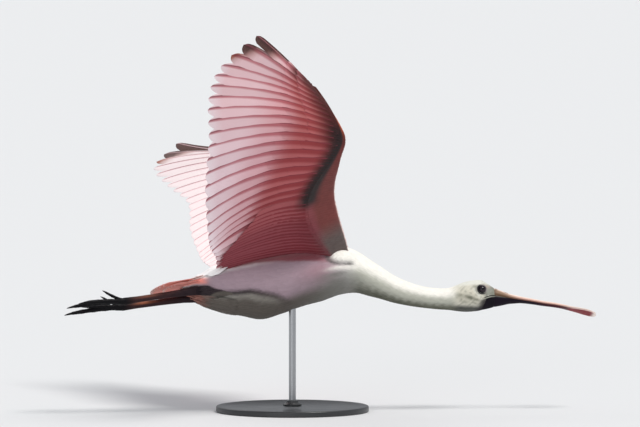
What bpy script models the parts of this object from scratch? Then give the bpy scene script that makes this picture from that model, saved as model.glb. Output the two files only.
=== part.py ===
# Roseate spoonbill in flight on a plain display stand, life size.
# The bird is built level and then banked over the stand. +X runs from tail to bill, +Y to its left
# and +Z to its back. Sizes are in millimetres, and the meshes in metres.

import math

import bmesh
import bpy
import numpy as np
from mathutils import Euler, Matrix, Vector

MM = 0.001
GAP = 0.35  # clearance between touching pieces

# How the bird hangs over the stand
BANK_DEG = -16.0
PITCH_DEG = 2.0
BIRD_PLACE = (14.0, 8.0, 215.0)

# Stand
BASE_RADIUS = 130.0
BASE_THICK = 10.0
BASE_BEVEL = 2.5
ROD_RADIUS = 6.0
BASE_SIDES = 40
ROD_TOP = 186.0  # the rod ends inside the belly
ROD_SIDES = 20
COLLAR_RADIUS = 16.0
COLLAR_HEIGHT = 9.0

# Body sections from tail to head: place along X, centre height, half width, height up and down
TORSO_STATIONS = (
    (-168, -3, 20, 15, 22),
    (-150, -4, 31, 24, 36),
    (-128, -6, 40, 34, 46),
    (-98, -7, 48, 47, 50),
    (-66, -5, 54, 56, 57),
    (-30, 2, 57, 58, 53),
    (6, 13, 57, 53, 50),
    (40, 22, 52, 48, 49),
    (72, 27, 44, 43, 42),
    (100, 24, 34, 36, 36),
)
NECK_STATIONS = (
    (100, 24, 34, 36, 36),
    (118, 16.5, 28.5, 32, 33),
    (137, 8.3, 24, 28.5, 29),
    (158, -1.5, 20.5, 24.5, 25),
    (182, -9.5, 18, 21.5, 21.5),
    (208, -15, 16.5, 19.2, 19.2),
    (234, -17.5, 16.5, 18.5, 18.7),
    (256, -17.2, 17.5, 19.6, 20),
)
NECK_PART_AT = 182
HEAD_STATIONS = (
    (256, -17.2, 17.5, 19.6, 20),
    (268, -15.5, 19, 22.8, 23),
    (282, -13.2, 20.5, 26, 26.2),
    (298, -11.4, 21, 27.4, 26.8),
    (312, -10.4, 19, 26.2, 25.4),
    (324, -11.2, 15.5, 20.5, 21.6),
    (333, -12.6, 12.2, 16, 17.4),
)
TORSO_SIDES = 20
TORSO_CLEAR = 0.5  # what grows from the torso is cut this much clear of it
NECK_SIDES = 16

# Bill sections from the face to the tip: place along X, height of the mouth line, half width,
# height of the upper jaw and depth of the lower jaw
BILL_STATIONS = (
    (333.6, -9.5, 11.6, 12.6, 18.5),
    (348, -11.4, 10.0, 9.8, 14.2),
    (362, -14.0, 8.4, 8.2, 7.4),
    (378, -16.4, 7.2, 7.0, 4.0),
    (396, -18.8, 6.6, 6.0, 2.8),
    (416, -21.6, 6.6, 5.0, 2.4),
    (436, -24.0, 8.0, 4.0, 2.2),
    (452, -26.5, 11.5, 3.2, 2.0),
    (466, -29.1, 17.0, 2.7, 1.8),
    (480, -31.9, 21.0, 2.5, 1.6),
    (492, -34.7, 21.5, 2.2, 1.5),
    (501, -37.2, 17.0, 1.8, 1.2),
    (507, -39.0, 8.5, 1.2, 0.8),
)
MOUTH_GAP = 0.4
BILL_SIDES = 6

EYE_RADIUS = 7.6
EYE_PLACE = (310.0, 13.4, -2.6)
EYE_SIDES = 12
LID_RADIUS = 6.1
LID_THICK = 1.2
LID_OUT = 4.7  # how far the lids lie out from the eye's centre
NOSTRIL_PLACE = (350.0, 4.4, -3.0)
NOSTRIL_SIZE = (10.0, 2.0, 2.6)

# Wing bones, from the shoulder outward, in the left wing
SHOULDER = (50.0, 34.0, 46.0)
ELBOW = (-4.0, 134.0, 112.0)
WRIST = (45.0, 190.0, 218.0)
HAND_END = (-15.0, 250.0, 292.0)
# Places along the wing are 0 at the shoulder, 1 at the elbow, 2 at the wrist and 3 at the hand's end
LEADING_EDGE = (
    (0.0, (80.0, 28.0, 58.0)),
    (1.0, (46.0, 112.0, 144.0)),
    (1.6, (49.0, 165.0, 184.0)),
    (2.0, (52.5, 192.0, 221.0)),
    (2.25, (33.0, 208.0, 250.0)),
    (2.7, (6.0, 236.0, 280.0)),
    (3.0, (-11.5, 252.0, 297.0)),
)
# Tips of the flight feathers
TRAILING_EDGE = (
    (0.0, (-146.0, 22.0, 17.0)),
    (0.45, (-149.0, 38.0, 34.0)),
    (1.05, (-164.0, 64.0, 58.0)),
    (1.55, (-176.0, 140.0, 125.0)),
    (2.02, (-176.0, 228.0, 196.0)),
    (2.37, (-193.0, 338.0, 244.0)),
    (2.67, (-193.0, 436.0, 287.0)),
    (2.87, (-164.0, 475.0, 318.0)),
    (3.0, (-136.0, 466.0, 340.0)),
)
# The right wing is held a little further forward at the tip, and the left wing further back
TIP_LEAD = ((0.0, 0.0), (1.5, -2.0), (2.1, -8.0), (2.45, -2.0), (2.7, 8.0), (3.0, 13.0))
TIP_FALL = 0.8  # how far a tip drops for each step forward
FEATHER_BOW = 0.075  # share of the length by which a flight feather bows outward
FEATHER_ARCH = 0.06  # and toward the upper side

# Half thickness of the feathered arm, at the bone, from shoulder to hand end
ARM_HALF_THICK = ((0.0, 13.0), (1.0, 9.5), (2.0, 7.5), (3.0, 4.5))
# The wing's section: share of the way from leading edge to bone, or along the feather, and thickness
SECTION_FRONT = ((0.0, 0.14), (0.12, 0.36), (0.5, 0.55))
SECTION_BACK = ((0.0, 1.0), (0.08, 0.7), (0.16, 0.36), (0.24, 0.16))
FLESH_ROWS = 6

# Feathers overlap like a fan: each lies a step lower than the next one out. Their shapes are stations
# of (share of the length, width inward, width outward) in spacings between neighbours.
VANE_HALF = 0.4
FEATHER_SEAT = 0.7  # where in its own spacing a feather grows, so that a row begins with its length
QUILL = 0.12  # half width of a bare quill, in spacings
REMEX_STEP = 2.5
REMEX_SHAPE = (
    (0.07, QUILL, QUILL),
    (0.24, QUILL, QUILL),
    (0.32, 1.0, 0.3),
    (0.62, 1.2, 0.35),
    (0.86, 1.1, 0.33),
    (0.95, 0.85, 0.25),
    (1.0, 0.4, 0.05),
)
# Limits to those widths by place along the wing, which leave slots between the wingtip feathers
REMEX_WIDEST = ((0.0, (29.0, 8.0)), (2.5, (29.0, 8.0)), (2.75, (22.0, 6.0)), (3.0, (13.0, 3.5)))
REMEX_TAPER = (5.0, 1.1)  # these limits narrow by this slope toward this share of the length
COVERT_STEP = 1.7
COVERT_SHAPE = ((0.0, QUILL, QUILL), (0.48, 0.9, 0.3), (0.87, 0.85, 0.3), (1.0, 0.35, 0.0))
# Rows of coverts: name, where the root and the tip lie along the flight feather, and the height of the
# vanes above the wing's middle surface at the root and once clear of the flesh
COVERT_ROWS = (
    ("greater_upper", 0.1, 0.46, 1.2, 4.3),
    ("greater_under", 0.1, 0.44, -1.2, -5.2),
    ("median_upper", 0.02, 0.29, 3.0, 9.0),
    ("median_under", 0.02, 0.27, -2.4, -8.7),
)
# The thumb's feathers: where they grow and end along the hand, and stations of share of the length and
# of the way back from the leading edge to the bone
ALULA_ROOT = 2.1
ALULA_LENGTH = 0.55
ALULA_SHAPE = ((0.0, 0.6, 0.4), (0.2, 0.7, -0.1), (0.6, 0.5, -0.45), (0.9, 0.2, -0.55), (1.0, -0.1, -0.4))
ALULA_COUNT = 3
ALULA_LIFT = (2.2, 1.3)  # height of the first one over the wing's middle surface, and of each further one
# Number of flight feathers and of coverts in a row, on each length of the wing
WING_LENGTHS = (
    ("arm", 0.0, 1.0, 5, 4),
    ("forearm", 1.0, 2.0, 10, 7),
    ("hand", 2.0, 3.0, 10, 6),
)
WING_PART_HALF = 0.0025  # half the gap between lengths of the wing, as a share of a length

TAIL_ROOT = (-160.0, 0.0, -1.0)
TAIL_TIP = (-256.0, 0.0, -25.0)
TAIL_SPREAD = 0.75  # how far apart the tail feathers' roots are, for each degree of the fan
TAIL_PITCH = 0.42  # spacing of the feathers as a share of their inner width
TAIL_OUTER = 0.6  # outer width as a share of the inner width
TAIL_ROUNDING = 0.1  # how much shorter the outermost feathers are
TAIL_CROWN = 1.6  # how many steps the middle feather lies above its neighbours
TAIL_CORE = ((0.0, 22.0, 17.0, 12.0), (16.0, 19.0, 16.0, 9.0), (32.0, 13.0, 10.0, 5.0))
TAIL_VANE_SHAPE = ((0.0, 0.25), (0.35, 0.9), (0.88, 1.0), (1.0, 0.35))
# Rows of the tail: feathers on each side of the middle one, fan angle to one side, where the row
# starts, length, width inward, height and the step down from one feather to the next
TAIL_ROWS = (
    (5, 13.0, 20.0, 78.0, 12.0, 0.0, 1.2),
    (2, 8.0, 6.0, 60.0, 13.0, 10.5, 1.2),
    (2, 6.0, 12.0, 58.0, 9.0, -4.4, 1.2),
)

# Legs: ankle, end of the shank, and how far apart
KNEE = (-96.0, 38.0, -20.0)
SHANK_TOP = (-182.0, 20.0, -19.0)
SHANK_END = (-301.0, 14.0, -39.0)
LEFT_LEG_DROP = 6.5  # the left leg trails this much lower than the right one
THIGH_RADII = (16.0, 12.5, 7.5, 5.6)
SHANK_RADII = (5.8, 4.7, 4.2, 4.4, 5.2)
# Each toe: sideways angle, length, fall and thickness at its root
TOES = (
    ("outer", 9.0, 84.0, -6.0, 3.4),
    ("middle", 2.5, 102.0, -17.0, 3.7),
    ("inner", -4.0, 73.0, 2.0, 3.2),
)
HALLUX = (0.0, 41.0, 18.0, 2.5)
TOE_SIDES = 6


def make_material(name, colour, roughness, metallic=0.0):
    material = bpy.data.materials.new(name)
    material.use_nodes = True
    shader = material.node_tree.nodes["Principled BSDF"]
    shader.inputs["Base Color"].default_value = (*colour, 1.0)
    shader.inputs["Roughness"].default_value = roughness
    shader.inputs["Metallic"].default_value = metallic
    material.diffuse_color = (*colour, 1.0)
    return material


def smooth_between(keys, at):
    """A smooth curve through (place, value) keys, read at one place."""
    places = np.array([key[0] for key in keys], float)
    values = np.array([key[1] for key in keys], float)
    slopes = np.gradient(values, places, axis=0)
    i = int(np.clip(np.searchsorted(places, at) - 1, 0, len(places) - 2))
    span = places[i + 1] - places[i]
    t = (at - places[i]) / span
    return (
        (2 * t**3 - 3 * t**2 + 1) * values[i]
        + (t**3 - 2 * t**2 + t) * span * slopes[i]
        + (3 * t**2 - 2 * t**3) * values[i + 1]
        + (t**3 - t**2) * span * slopes[i + 1]
    )


def unit(vector):
    return vector / np.linalg.norm(vector)


def add_object(name, points, faces, material, collection):
    """A mesh object from points in millimetres, with its faces turned outward."""
    mesh = bpy.data.meshes.new(name)
    mesh.from_pydata([tuple(np.asarray(p, float) * MM) for p in points], [], faces)
    made = bmesh.new()
    made.from_mesh(mesh)
    bmesh.ops.remove_doubles(made, verts=made.verts, dist=0.00001)
    bmesh.ops.recalc_face_normals(made, faces=made.faces)
    made.to_mesh(mesh)
    made.free()
    mesh.materials.append(material)
    item = bpy.data.objects.new(name, mesh)
    collection.objects.link(item)
    return item


def tube(rings):
    """Points and faces of a closed skin over rings of points, with flat ends."""
    sides = len(rings[0])
    points = [p for ring in rings for p in ring]
    faces = [list(range(sides)), [len(points) - sides + i for i in range(sides)]]
    for r in range(len(rings) - 1):
        for i in range(sides):
            j = (i + 1) % sides
            faces.append([r * sides + i, r * sides + j, (r + 1) * sides + j, (r + 1) * sides + i])
    return points, faces


def plate(top, bottom):
    """Points and faces of a thin closed plate between two grids, split alike on both faces."""
    rows, columns = len(top), len(top[0])
    points = [p for row in top for p in row] + [p for row in bottom for p in row]
    under = rows * columns
    faces = []
    for r in range(rows - 1):
        for c in range(columns - 1):
            a, b = r * columns + c, r * columns + c + 1
            d, e = a + columns, b + columns
            faces += [(a, b, e), (a, e, d)]
            faces += [(under + a, under + e, under + b), (under + a, under + d, under + e)]
    edge = [(0, c) for c in range(columns)] + [(r, columns - 1) for r in range(1, rows)]
    edge += [(rows - 1, c) for c in range(columns - 2, -1, -1)]
    edge += [(r, 0) for r in range(rows - 2, 0, -1)]
    ring = [r * columns + c for r, c in edge]
    for a, b in zip(ring, ring[1:] + ring[:1]):
        faces += [(a, under + a, under + b), (a, under + b, b)]
    return points, faces


def body_ring(station, sides, grow=0.0, keel=0.0):
    """An egg-shaped ring across the body. The keel narrows it toward the breastbone."""
    x, centre, width, up, down = station
    ring = []
    for i in range(sides):
        angle = 2 * math.pi * i / sides
        side, rise = math.cos(angle), math.sin(angle)
        reach = up if rise > 0 else down
        narrow = 1 - keel * max(0.0, -rise) ** 2
        ring.append((x, (width + grow) * side * narrow, centre + (reach + grow) * rise))
    return ring


def between(stations, low, high):
    """Stations cut to a stretch of X, with a new one at each cut."""
    keys = [(s[0], s[1:]) for s in stations]
    inner = [s for s in stations if low + 1 < s[0] < high - 1]
    ends = [(x, *smooth_between(keys, x)) for x in (low, high)]
    return [ends[0], *inner, ends[1]]


def tapered_tube(path, radii, sides):
    """Rings square to a path of points."""
    path = [np.array(p, float) for p in path]
    rings = []
    for i, place in enumerate(path):
        ahead = unit(path[min(i + 1, len(path) - 1)] - path[max(i - 1, 0)])
        across = unit(np.cross(ahead, (0.0, 0.0, 1.0)))
        rise = np.cross(across, ahead)
        turn = [2 * math.pi * k / sides for k in range(sides)]
        rings.append([place + radii[i] * (math.cos(a) * across + math.sin(a) * rise) for a in turn])
    return rings


def boolean(target, operation, cutters, solver="EXACT"):
    """Joins or cuts the target by the cutters, applies it and removes the cutters."""
    group = bpy.data.collections.new("boolean_work")
    bpy.context.scene.collection.children.link(group)
    for cutter in cutters:
        for owner in list(cutter.users_collection):
            owner.objects.unlink(cutter)
        group.objects.link(cutter)
    modifier = target.modifiers.new(operation.lower(), "BOOLEAN")
    modifier.operation = operation
    modifier.operand_type = "COLLECTION"
    modifier.collection = group
    modifier.solver = solver
    graph = bpy.context.evaluated_depsgraph_get()
    result = bpy.data.meshes.new_from_object(target.evaluated_get(graph))
    target.modifiers.clear()
    target.data = result
    for cutter in cutters:
        bpy.data.objects.remove(cutter)
    bpy.data.collections.remove(group)
    keep_largest(target)


def keep_largest(item):
    """Leaves the largest closed surface of a mesh."""
    made = bmesh.new()
    made.from_mesh(item.data)
    bmesh.ops.triangulate(made, faces=made.faces)
    left = set(made.faces)
    shells = []
    while left:
        shell, edge = set(), [left.pop()]
        while edge:
            face = edge.pop()
            shell.add(face)
            near = {f for side in face.edges for f in side.link_faces} & left
            left -= near
            edge += near
        shells.append(shell)

    def volume(shell):
        return abs(sum(f.verts[0].co.dot(f.verts[1].co.cross(f.verts[2].co)) for f in shell))

    best = max(shells, key=volume)
    spare = [f for shell in shells if shell is not best for f in shell]
    bmesh.ops.delete(made, geom=spare, context="FACES")
    made.to_mesh(item.data)
    made.free()


class Wing:
    """The curved surface that one wing's arm and feathers lie on."""

    def __init__(self, side):
        self.side = side
        self.bones = tuple(enumerate((SHOULDER, ELBOW, WRIST, HAND_END)))

    def bone(self, u):
        return smooth_between(self.bones, u)

    def tip(self, u):
        shift = smooth_between(TIP_LEAD, u) * -self.side
        return smooth_between(TRAILING_EDGE, u) + np.array((shift, 0.0, -TIP_FALL * shift))

    def along(self, u, t):
        """The point a share t of the way along the feather that grows at u."""
        root, tip = self.bone(u), self.tip(u)
        length = np.linalg.norm(tip - root)
        outward = unit(self.bone(3.0) - self.bone(0.0))
        ahead = unit(tip - root)
        outward = unit(outward - ahead * outward.dot(ahead))
        rise = unit(np.cross(outward, ahead))
        middle = (root + tip) / 2 + length * (FEATHER_BOW * outward + FEATHER_ARCH * rise)
        return (1 - t) ** 2 * root + 2 * t * (1 - t) * middle + t**2 * tip

    def front_point(self, u, share):
        lead = smooth_between(LEADING_EDGE, u)
        return lead + (self.bone(u) - lead) * share

    def normal(self, u, t):
        """The direction of the wing's upper side."""
        step = 0.02
        across = self.along(u + step, t) - self.along(u - step, t)
        ahead = self.along(u, t + step) - self.along(u, t - step)
        return unit(np.cross(across, ahead))

    def spacing(self, u, t, pitch):
        return np.linalg.norm(self.along(u + pitch / 2, t) - self.along(u - pitch / 2, t))

    def raised(self, u, t, height):
        """The point of the wing at a height over its middle surface, on this wing's own side."""
        point = self.along(u, t) + self.normal(u, t) * height
        return (point[0], point[1] * self.side, point[2])


def flesh_of_wing(wing, start, end):
    """The wing's thick front part between two places along it, as a closed plate."""
    top, bottom = [], []
    for row in range(FLESH_ROWS):
        u = start + (end - start) * row / (FLESH_ROWS - 1)
        thick = smooth_between(ARM_HALF_THICK, u)
        rise = wing.normal(u, 0.1)
        front = [(wing.front_point(u, share), thick * part) for share, part in SECTION_FRONT]
        line = front + [(wing.along(u, t), thick * part) for t, part in SECTION_BACK]
        for grid, sign in ((top, 1), (bottom, -1)):
            edge = [p + rise * half * sign for p, half in line]
            grid.append([(p[0], p[1] * wing.side, p[2]) for p in edge])
    return plate(top, bottom)


def vane(wing, u, pitch, step, rows):
    """A thin feather on the wing. Rows give the share along, width inward and outward, and height."""
    top, bottom = [], []
    for t, inward, outward, height in rows:
        for grid, half in ((top, VANE_HALF), (bottom, -VANE_HALF)):
            edge = [wing.raised(u + v * pitch, t, height + v * step + half) for v in (-inward, outward)]
            grid.append(edge)
    return plate(top, bottom)


def flight_feather(wing, u, pitch):
    rows = []
    widest = smooth_between(REMEX_WIDEST, u)
    for t, inward, outward in REMEX_SHAPE:
        room = wing.spacing(u, t, pitch)
        taper = min(1.0, REMEX_TAPER[0] * (REMEX_TAPER[1] - t))
        rows.append((t, min(inward, widest[0] * taper / room), min(outward, widest[1] * taper / room), 0.0))
    return vane(wing, u, pitch, REMEX_STEP, rows)


def covert(wing, u, pitch, root, tip, low, high):
    rows = []
    for share, inward, outward in COVERT_SHAPE:
        climb = min(1.0, share / COVERT_SHAPE[1][0])
        rows.append((root + (tip - root) * share, inward, outward, low + (high - low) * climb))
    return vane(wing, u, pitch, COVERT_STEP, rows)


def alula_vane(wing, place):
    """One of the small feathers of the thumb, which lie along the front edge of the hand."""
    top, bottom = [], []
    for share, inner, outer in ALULA_SHAPE:
        u = ALULA_ROOT + 0.05 * place + ALULA_LENGTH * share
        rise = wing.normal(u, 0.05)
        lift = ALULA_LIFT[0] + ALULA_LIFT[1] * place
        for grid, half in ((top, VANE_HALF), (bottom, -VANE_HALF)):
            edge = [wing.front_point(u, part) + rise * (lift + half) for part in (inner, outer)]
            grid.append([(p[0], p[1] * wing.side, p[2]) for p in edge])
    return plate(top, bottom)


def build_wing(side, label, torso_cutter, material, collection):
    wing = Wing(side)
    for name, low, high, feathers, coverts in WING_LENGTHS:
        start, end = low + WING_PART_HALF, min(high - WING_PART_HALF, 2.995)
        item = add_object(f"wing_{label}_{name}", *flesh_of_wing(wing, start, end), material, collection)
        vanes = []
        for k in range(feathers):
            pitch = (high - low) / feathers
            vanes.append(flight_feather(wing, low + (k + FEATHER_SEAT) * pitch, pitch))
        for _row, root, tip, bottom, top in COVERT_ROWS:
            pitch = (high - low) / coverts
            for k in range(coverts):
                vanes.append(covert(wing, low + (k + FEATHER_SEAT) * pitch, pitch, root, tip, bottom, top))
        if name == "hand":
            vanes += [alula_vane(wing, place) for place in range(ALULA_COUNT)]
        pieces = [add_object("vane", *shape, material, collection) for shape in vanes]
        boolean(item, "UNION", pieces)
        if name == "arm":
            boolean(item, "DIFFERENCE", [torso_cutter()])


def build_leg(side, label, torso_cutter, skin, collection):
    def place(p):
        return np.array((p[0], p[1] * side, p[2] - (LEFT_LEG_DROP if side > 0 else 0.0)))

    knee, ankle, end = place(KNEE), place(SHANK_TOP), place(SHANK_END)
    path = [knee + (ankle - knee) * t for t in (0, 0.4, 0.75, 1.0)]
    thigh = add_object(f"leg_{label}_thigh", *tube(tapered_tube(path, THIGH_RADII, 12)), skin, collection)
    boolean(thigh, "DIFFERENCE", [torso_cutter()])
    ahead = unit(end - ankle)
    start = ankle + ahead * 2

    def shank(name, grow):
        path = [start + (end - start) * t for t in (0, 0.12, 0.5, 0.9, 1.0)]
        path[-1] = end + ahead * grow
        radii = [r + grow for r in SHANK_RADII]
        return add_object(name, *tube(tapered_tube(path, radii, 10)), skin, collection)

    shank(f"leg_{label}_shank", 0.0)
    foot = build_foot(side, label, end, ahead, skin, collection)
    boolean(foot, "DIFFERENCE", [shank("shank_cutter", GAP)])


def build_foot(side, label, end, ahead, skin, collection):
    start = end - ahead * 2

    def toe(angle, length, fall, thick):
        turn = math.radians(angle)
        way = np.array((-math.cos(turn), math.sin(turn) * side, 0.0))
        path = []
        for t in (0, 0.25, 0.5, 0.78, 0.86, 1.0):
            path.append(start + way * length * t + np.array((0, 0, fall * t * (0.5 + t * 0.5))))
        return tube(tapered_tube(path, [thick * r for r in (1.3, 0.95, 0.9, 0.72, 0.6, 0.12)], TOE_SIDES))

    first, *others = [toe(*size[1:]) for size in TOES] + [toe(*HALLUX)]
    foot = add_object(f"foot_{label}", *first, skin, collection)
    pieces = [add_object("toe", *other, skin, collection) for other in others]
    heel = [start + ahead * d for d in (0.0, 6.0, 13.0)]
    pieces.append(add_object("heel", *tube(tapered_tube(heel, (4.6, 5.4, 3.4), 10)), skin, collection))
    boolean(foot, "UNION", pieces)
    return foot


def build_body(materials, collection):
    def torso_cutter():
        first, *middle, last = TORSO_STATIONS
        stations = [(first[0] - TORSO_CLEAR, *first[1:]), *middle, (last[0] + TORSO_CLEAR, *last[1:])]
        rings = [body_ring(s, TORSO_SIDES, TORSO_CLEAR, 0.18) for s in stations]
        return add_object("torso_cutter", *tube(rings), materials["feather_pale"], collection)

    torso_low, torso_high = TORSO_STATIONS[0][0], TORSO_STATIONS[-1][0]
    rings = [body_ring(s, TORSO_SIDES, 0.0, 0.18) for s in TORSO_STATIONS]
    torso = add_object("torso", *tube(rings), materials["feather_pale"], collection)
    stretches = (
        ("neck_lower", NECK_STATIONS, torso_high + GAP, NECK_PART_AT),
        ("neck_upper", NECK_STATIONS, NECK_PART_AT + GAP, HEAD_STATIONS[0][0]),
        ("head", HEAD_STATIONS, HEAD_STATIONS[0][0] + GAP, HEAD_STATIONS[-1][0]),
    )
    made = {}
    for name, stations, low, high in stretches:
        keel = 0.18 if name == "neck_lower" else 0.0
        rings = []
        for s in between(stations, low, high):
            fade = max(0.0, 1 - (s[0] - torso_high) / 40)
            rings.append(body_ring(s, NECK_SIDES, 0.0, keel * fade))
        made[name] = add_object(name, *tube(rings), materials["feather_pale"], collection)
    build_eyes(made["head"], materials, collection)
    build_bill(materials["bill"], collection)
    build_tail(torso_cutter, materials["feather_pink"], collection)
    return torso, torso_cutter


def add_solid(name, make, place, turn, material, collection):
    """An object made by one bmesh operator, turned and then moved to its place in millimetres."""
    made = bmesh.new()
    make(made)
    bmesh.ops.transform(made, verts=made.verts, matrix=Matrix.Translation(Vector(place) * MM) @ turn)
    mesh = bpy.data.meshes.new(name)
    made.to_mesh(mesh)
    made.free()
    mesh.materials.append(material)
    item = bpy.data.objects.new(name, mesh)
    collection.objects.link(item)
    return item


def sphere(name, place, radius, material, collection):
    def make(made):
        rows = EYE_SIDES * 2 // 3
        bmesh.ops.create_uvsphere(made, u_segments=EYE_SIDES, v_segments=rows, radius=radius * MM)

    return add_solid(name, make, place, Matrix.Rotation(math.pi / 2, 4, "X"), material, collection)


def lid_ring(side, material, collection):
    """The rim of both lids, a ring square to the eye's outward direction."""
    rings = []
    for i in range(EYE_SIDES + 1):
        turn = 2 * math.pi * i / EYE_SIDES
        ring = []
        for k in range(4):
            edge = math.pi / 2 * k
            reach = LID_RADIUS + LID_THICK * math.cos(edge)
            out = (EYE_PLACE[1] + LID_OUT + LID_THICK * math.sin(edge)) * side
            ring.append((EYE_PLACE[0] + reach * math.cos(turn), out, EYE_PLACE[2] + reach * math.sin(turn)))
        rings.append(ring)
    points, faces = tube(rings)
    return add_object("lids", points, faces[2:], material, collection)


def build_eyes(head, materials, collection):
    sockets, lids = [], []
    for side, label in ((1, "left"), (-1, "right")):
        place = (EYE_PLACE[0], EYE_PLACE[1] * side, EYE_PLACE[2])
        sphere(f"eye_{label}", place, EYE_RADIUS, materials["eye"], collection)
        sockets.append(sphere("socket", place, EYE_RADIUS + GAP, materials["eye"], collection))
        lids.append(lid_ring(side, materials["feather_pale"], collection))
    boolean(head, "UNION", lids)
    boolean(head, "DIFFERENCE", sockets)


def build_bill(material, collection):
    halves = {}
    for name, sign in (("bill_upper", 1), ("bill_lower", -1)):
        rings = []
        for x, mouth, width, up, down in BILL_STATIONS:
            flat = mouth + sign * MOUTH_GAP / 2
            reach = up if sign > 0 else down
            arch = [math.pi * i / BILL_SIDES for i in range(BILL_SIDES + 1)]
            rings.append([(x, width * math.cos(a), flat + sign * reach * math.sin(a)) for a in arch])
        halves[name] = add_object(name, *tube(rings), material, collection)
    nostrils = []
    for side in (1, -1):

        def make(made):
            bmesh.ops.create_cube(made, size=MM)
            bmesh.ops.scale(made, vec=NOSTRIL_SIZE, verts=made.verts)

        place = (NOSTRIL_PLACE[0], NOSTRIL_PLACE[1] * side, NOSTRIL_PLACE[2])
        lean = Euler((math.radians(-38.0) * side, math.radians(9.0), math.radians(7.0) * -side))
        turn = lean.to_matrix().to_4x4()
        nostrils.append(add_solid("nostril", make, place, turn, material, collection))
    boolean(halves["bill_upper"], "DIFFERENCE", nostrils)


def tail_point(reach, turn, aside, height):
    """A point of the tail's fan: how far back, at what angle, and beside and above that line."""
    root, tip = np.array(TAIL_ROOT), np.array(TAIL_TIP)
    back = unit(tip - root)
    left = np.array((0.0, 1.0, 0.0))
    rise = np.cross(left, back)
    way = back * math.cos(turn) + left * math.sin(turn)
    beside = left * math.cos(turn) - back * math.sin(turn)
    return root + left * math.degrees(turn) * TAIL_SPREAD + way * reach + beside * aside + rise * height


def tail_fan(row):
    """Vanes of one row of the tail, each a closed plate."""
    count, half_angle, start, length, width, height, step = row
    shapes = []
    for k in range(-count, count + 1):
        side = (k > 0) - (k < 0)
        angle = math.radians(half_angle) * k / count
        reach_out = length * (1 - TAIL_ROUNDING * (k / count) ** 2)
        grids = ([], [])
        for share, part in TAIL_VANE_SHAPE:
            reach = start + reach_out * share
            to_middle = abs(reach * math.sin(angle)) + abs(math.degrees(angle)) * TAIL_SPREAD
            outer = width * part * TAIL_OUTER
            edges = (max(-width * part, GAP - to_middle), outer) if side else (-outer, outer)
            for grid, half in zip(grids, (VANE_HALF, -VANE_HALF)):
                line = []
                for edge in edges:
                    steps = edge / (width * TAIL_PITCH) if side else TAIL_CROWN
                    line.append(tail_point(reach, angle, edge * (side or 1), height + steps * step + half))
                grid.append(line)
        shapes.append(plate(*grids))
    return shapes


def build_tail(torso_cutter, material, collection):
    rings = []
    for reach, width, up, down in TAIL_CORE:
        turn = [2 * math.pi * i / 12 for i in range(12)]
        rings.append(
            [tail_point(reach, 0.0, width * math.cos(a), (up if a < math.pi else down) * math.sin(a)) for a in turn]
        )
    tail = add_object("tail", *tube(rings), material, collection)
    vanes = [add_object("vane", *shape, material, collection) for row in TAIL_ROWS for shape in tail_fan(row)]
    boolean(tail, "UNION", vanes)
    boolean(tail, "DIFFERENCE", [torso_cutter()])


def cylinder(name, radius, low, high, material, collection, segments):
    def make(made):
        bmesh.ops.create_cone(
            made, cap_ends=True, segments=segments, radius1=radius * MM, radius2=radius * MM, depth=(high - low) * MM
        )

    return add_solid(name, make, (0, 0, (low + high) / 2), Matrix.Identity(4), material, collection)


def build_stand(torso, materials, collection):
    base = cylinder("stand_base", BASE_RADIUS, 0.0, BASE_THICK, materials["stand"], collection, BASE_SIDES)
    bevel = base.modifiers.new("edge", "BEVEL")
    bevel.width = BASE_BEVEL * MM
    bevel.segments = 1
    bevel.limit_method = "ANGLE"
    bevel.angle_limit = math.radians(60)
    low = BASE_THICK + GAP
    top = low + COLLAR_HEIGHT
    cylinder("stand_collar", COLLAR_RADIUS, low, top, materials["stand"], collection, ROD_SIDES)
    cylinder("stand_rod", ROD_RADIUS, top + GAP, ROD_TOP, materials["steel"], collection, ROD_SIDES)
    bore = cylinder("bore", ROD_RADIUS + GAP, 0.0, ROD_TOP + GAP, materials["steel"], collection, ROD_SIDES)
    boolean(torso, "DIFFERENCE", [bore])


def main():
    for item in list(bpy.data.objects):
        bpy.data.objects.remove(item)
    collection = bpy.data.collections.new("spoonbill")
    bpy.context.scene.collection.children.link(collection)
    materials = {
        "feather_pale": make_material("feather_pale", (0.84, 0.80, 0.74), 0.9),
        "feather_pink": make_material("feather_pink", (0.80, 0.42, 0.42), 0.85),
        "bill": make_material("bill", (0.72, 0.55, 0.46), 0.4),
        "eye": make_material("eye", (0.05, 0.02, 0.02), 0.08),
        "skin": make_material("skin", (0.10, 0.06, 0.06), 0.55),
        "stand": make_material("stand", (0.09, 0.09, 0.10), 0.45),
        "steel": make_material("steel", (0.60, 0.60, 0.60), 0.3, 1.0),
    }
    torso, torso_cutter = build_body(materials, collection)
    for side, label in ((1, "left"), (-1, "right")):
        build_wing(side, label, torso_cutter, materials["feather_pink"], collection)
        build_leg(side, label, torso_cutter, materials["skin"], collection)
    bank_bird(collection)
    build_stand(torso, materials, collection)


def bank_bird(collection):
    """Turns the whole bird over the stand."""
    turn = Euler((math.radians(BANK_DEG), math.radians(PITCH_DEG), 0.0)).to_matrix().to_4x4()
    place = Matrix.Translation(Vector(BIRD_PLACE) * MM) @ turn
    for item in collection.objects:
        item.data.transform(place)


main()
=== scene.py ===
# Young roseate spoonbill in flight on a display stand: skin, feathers, bill, eyes, legs and finishes.
# Shapes are worked out in millimetres on the level bird and then banked over the stand.
import math

import bmesh
import bpy
import numpy as np
from mathutils import Euler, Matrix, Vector
from mathutils.kdtree import KDTree


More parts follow.
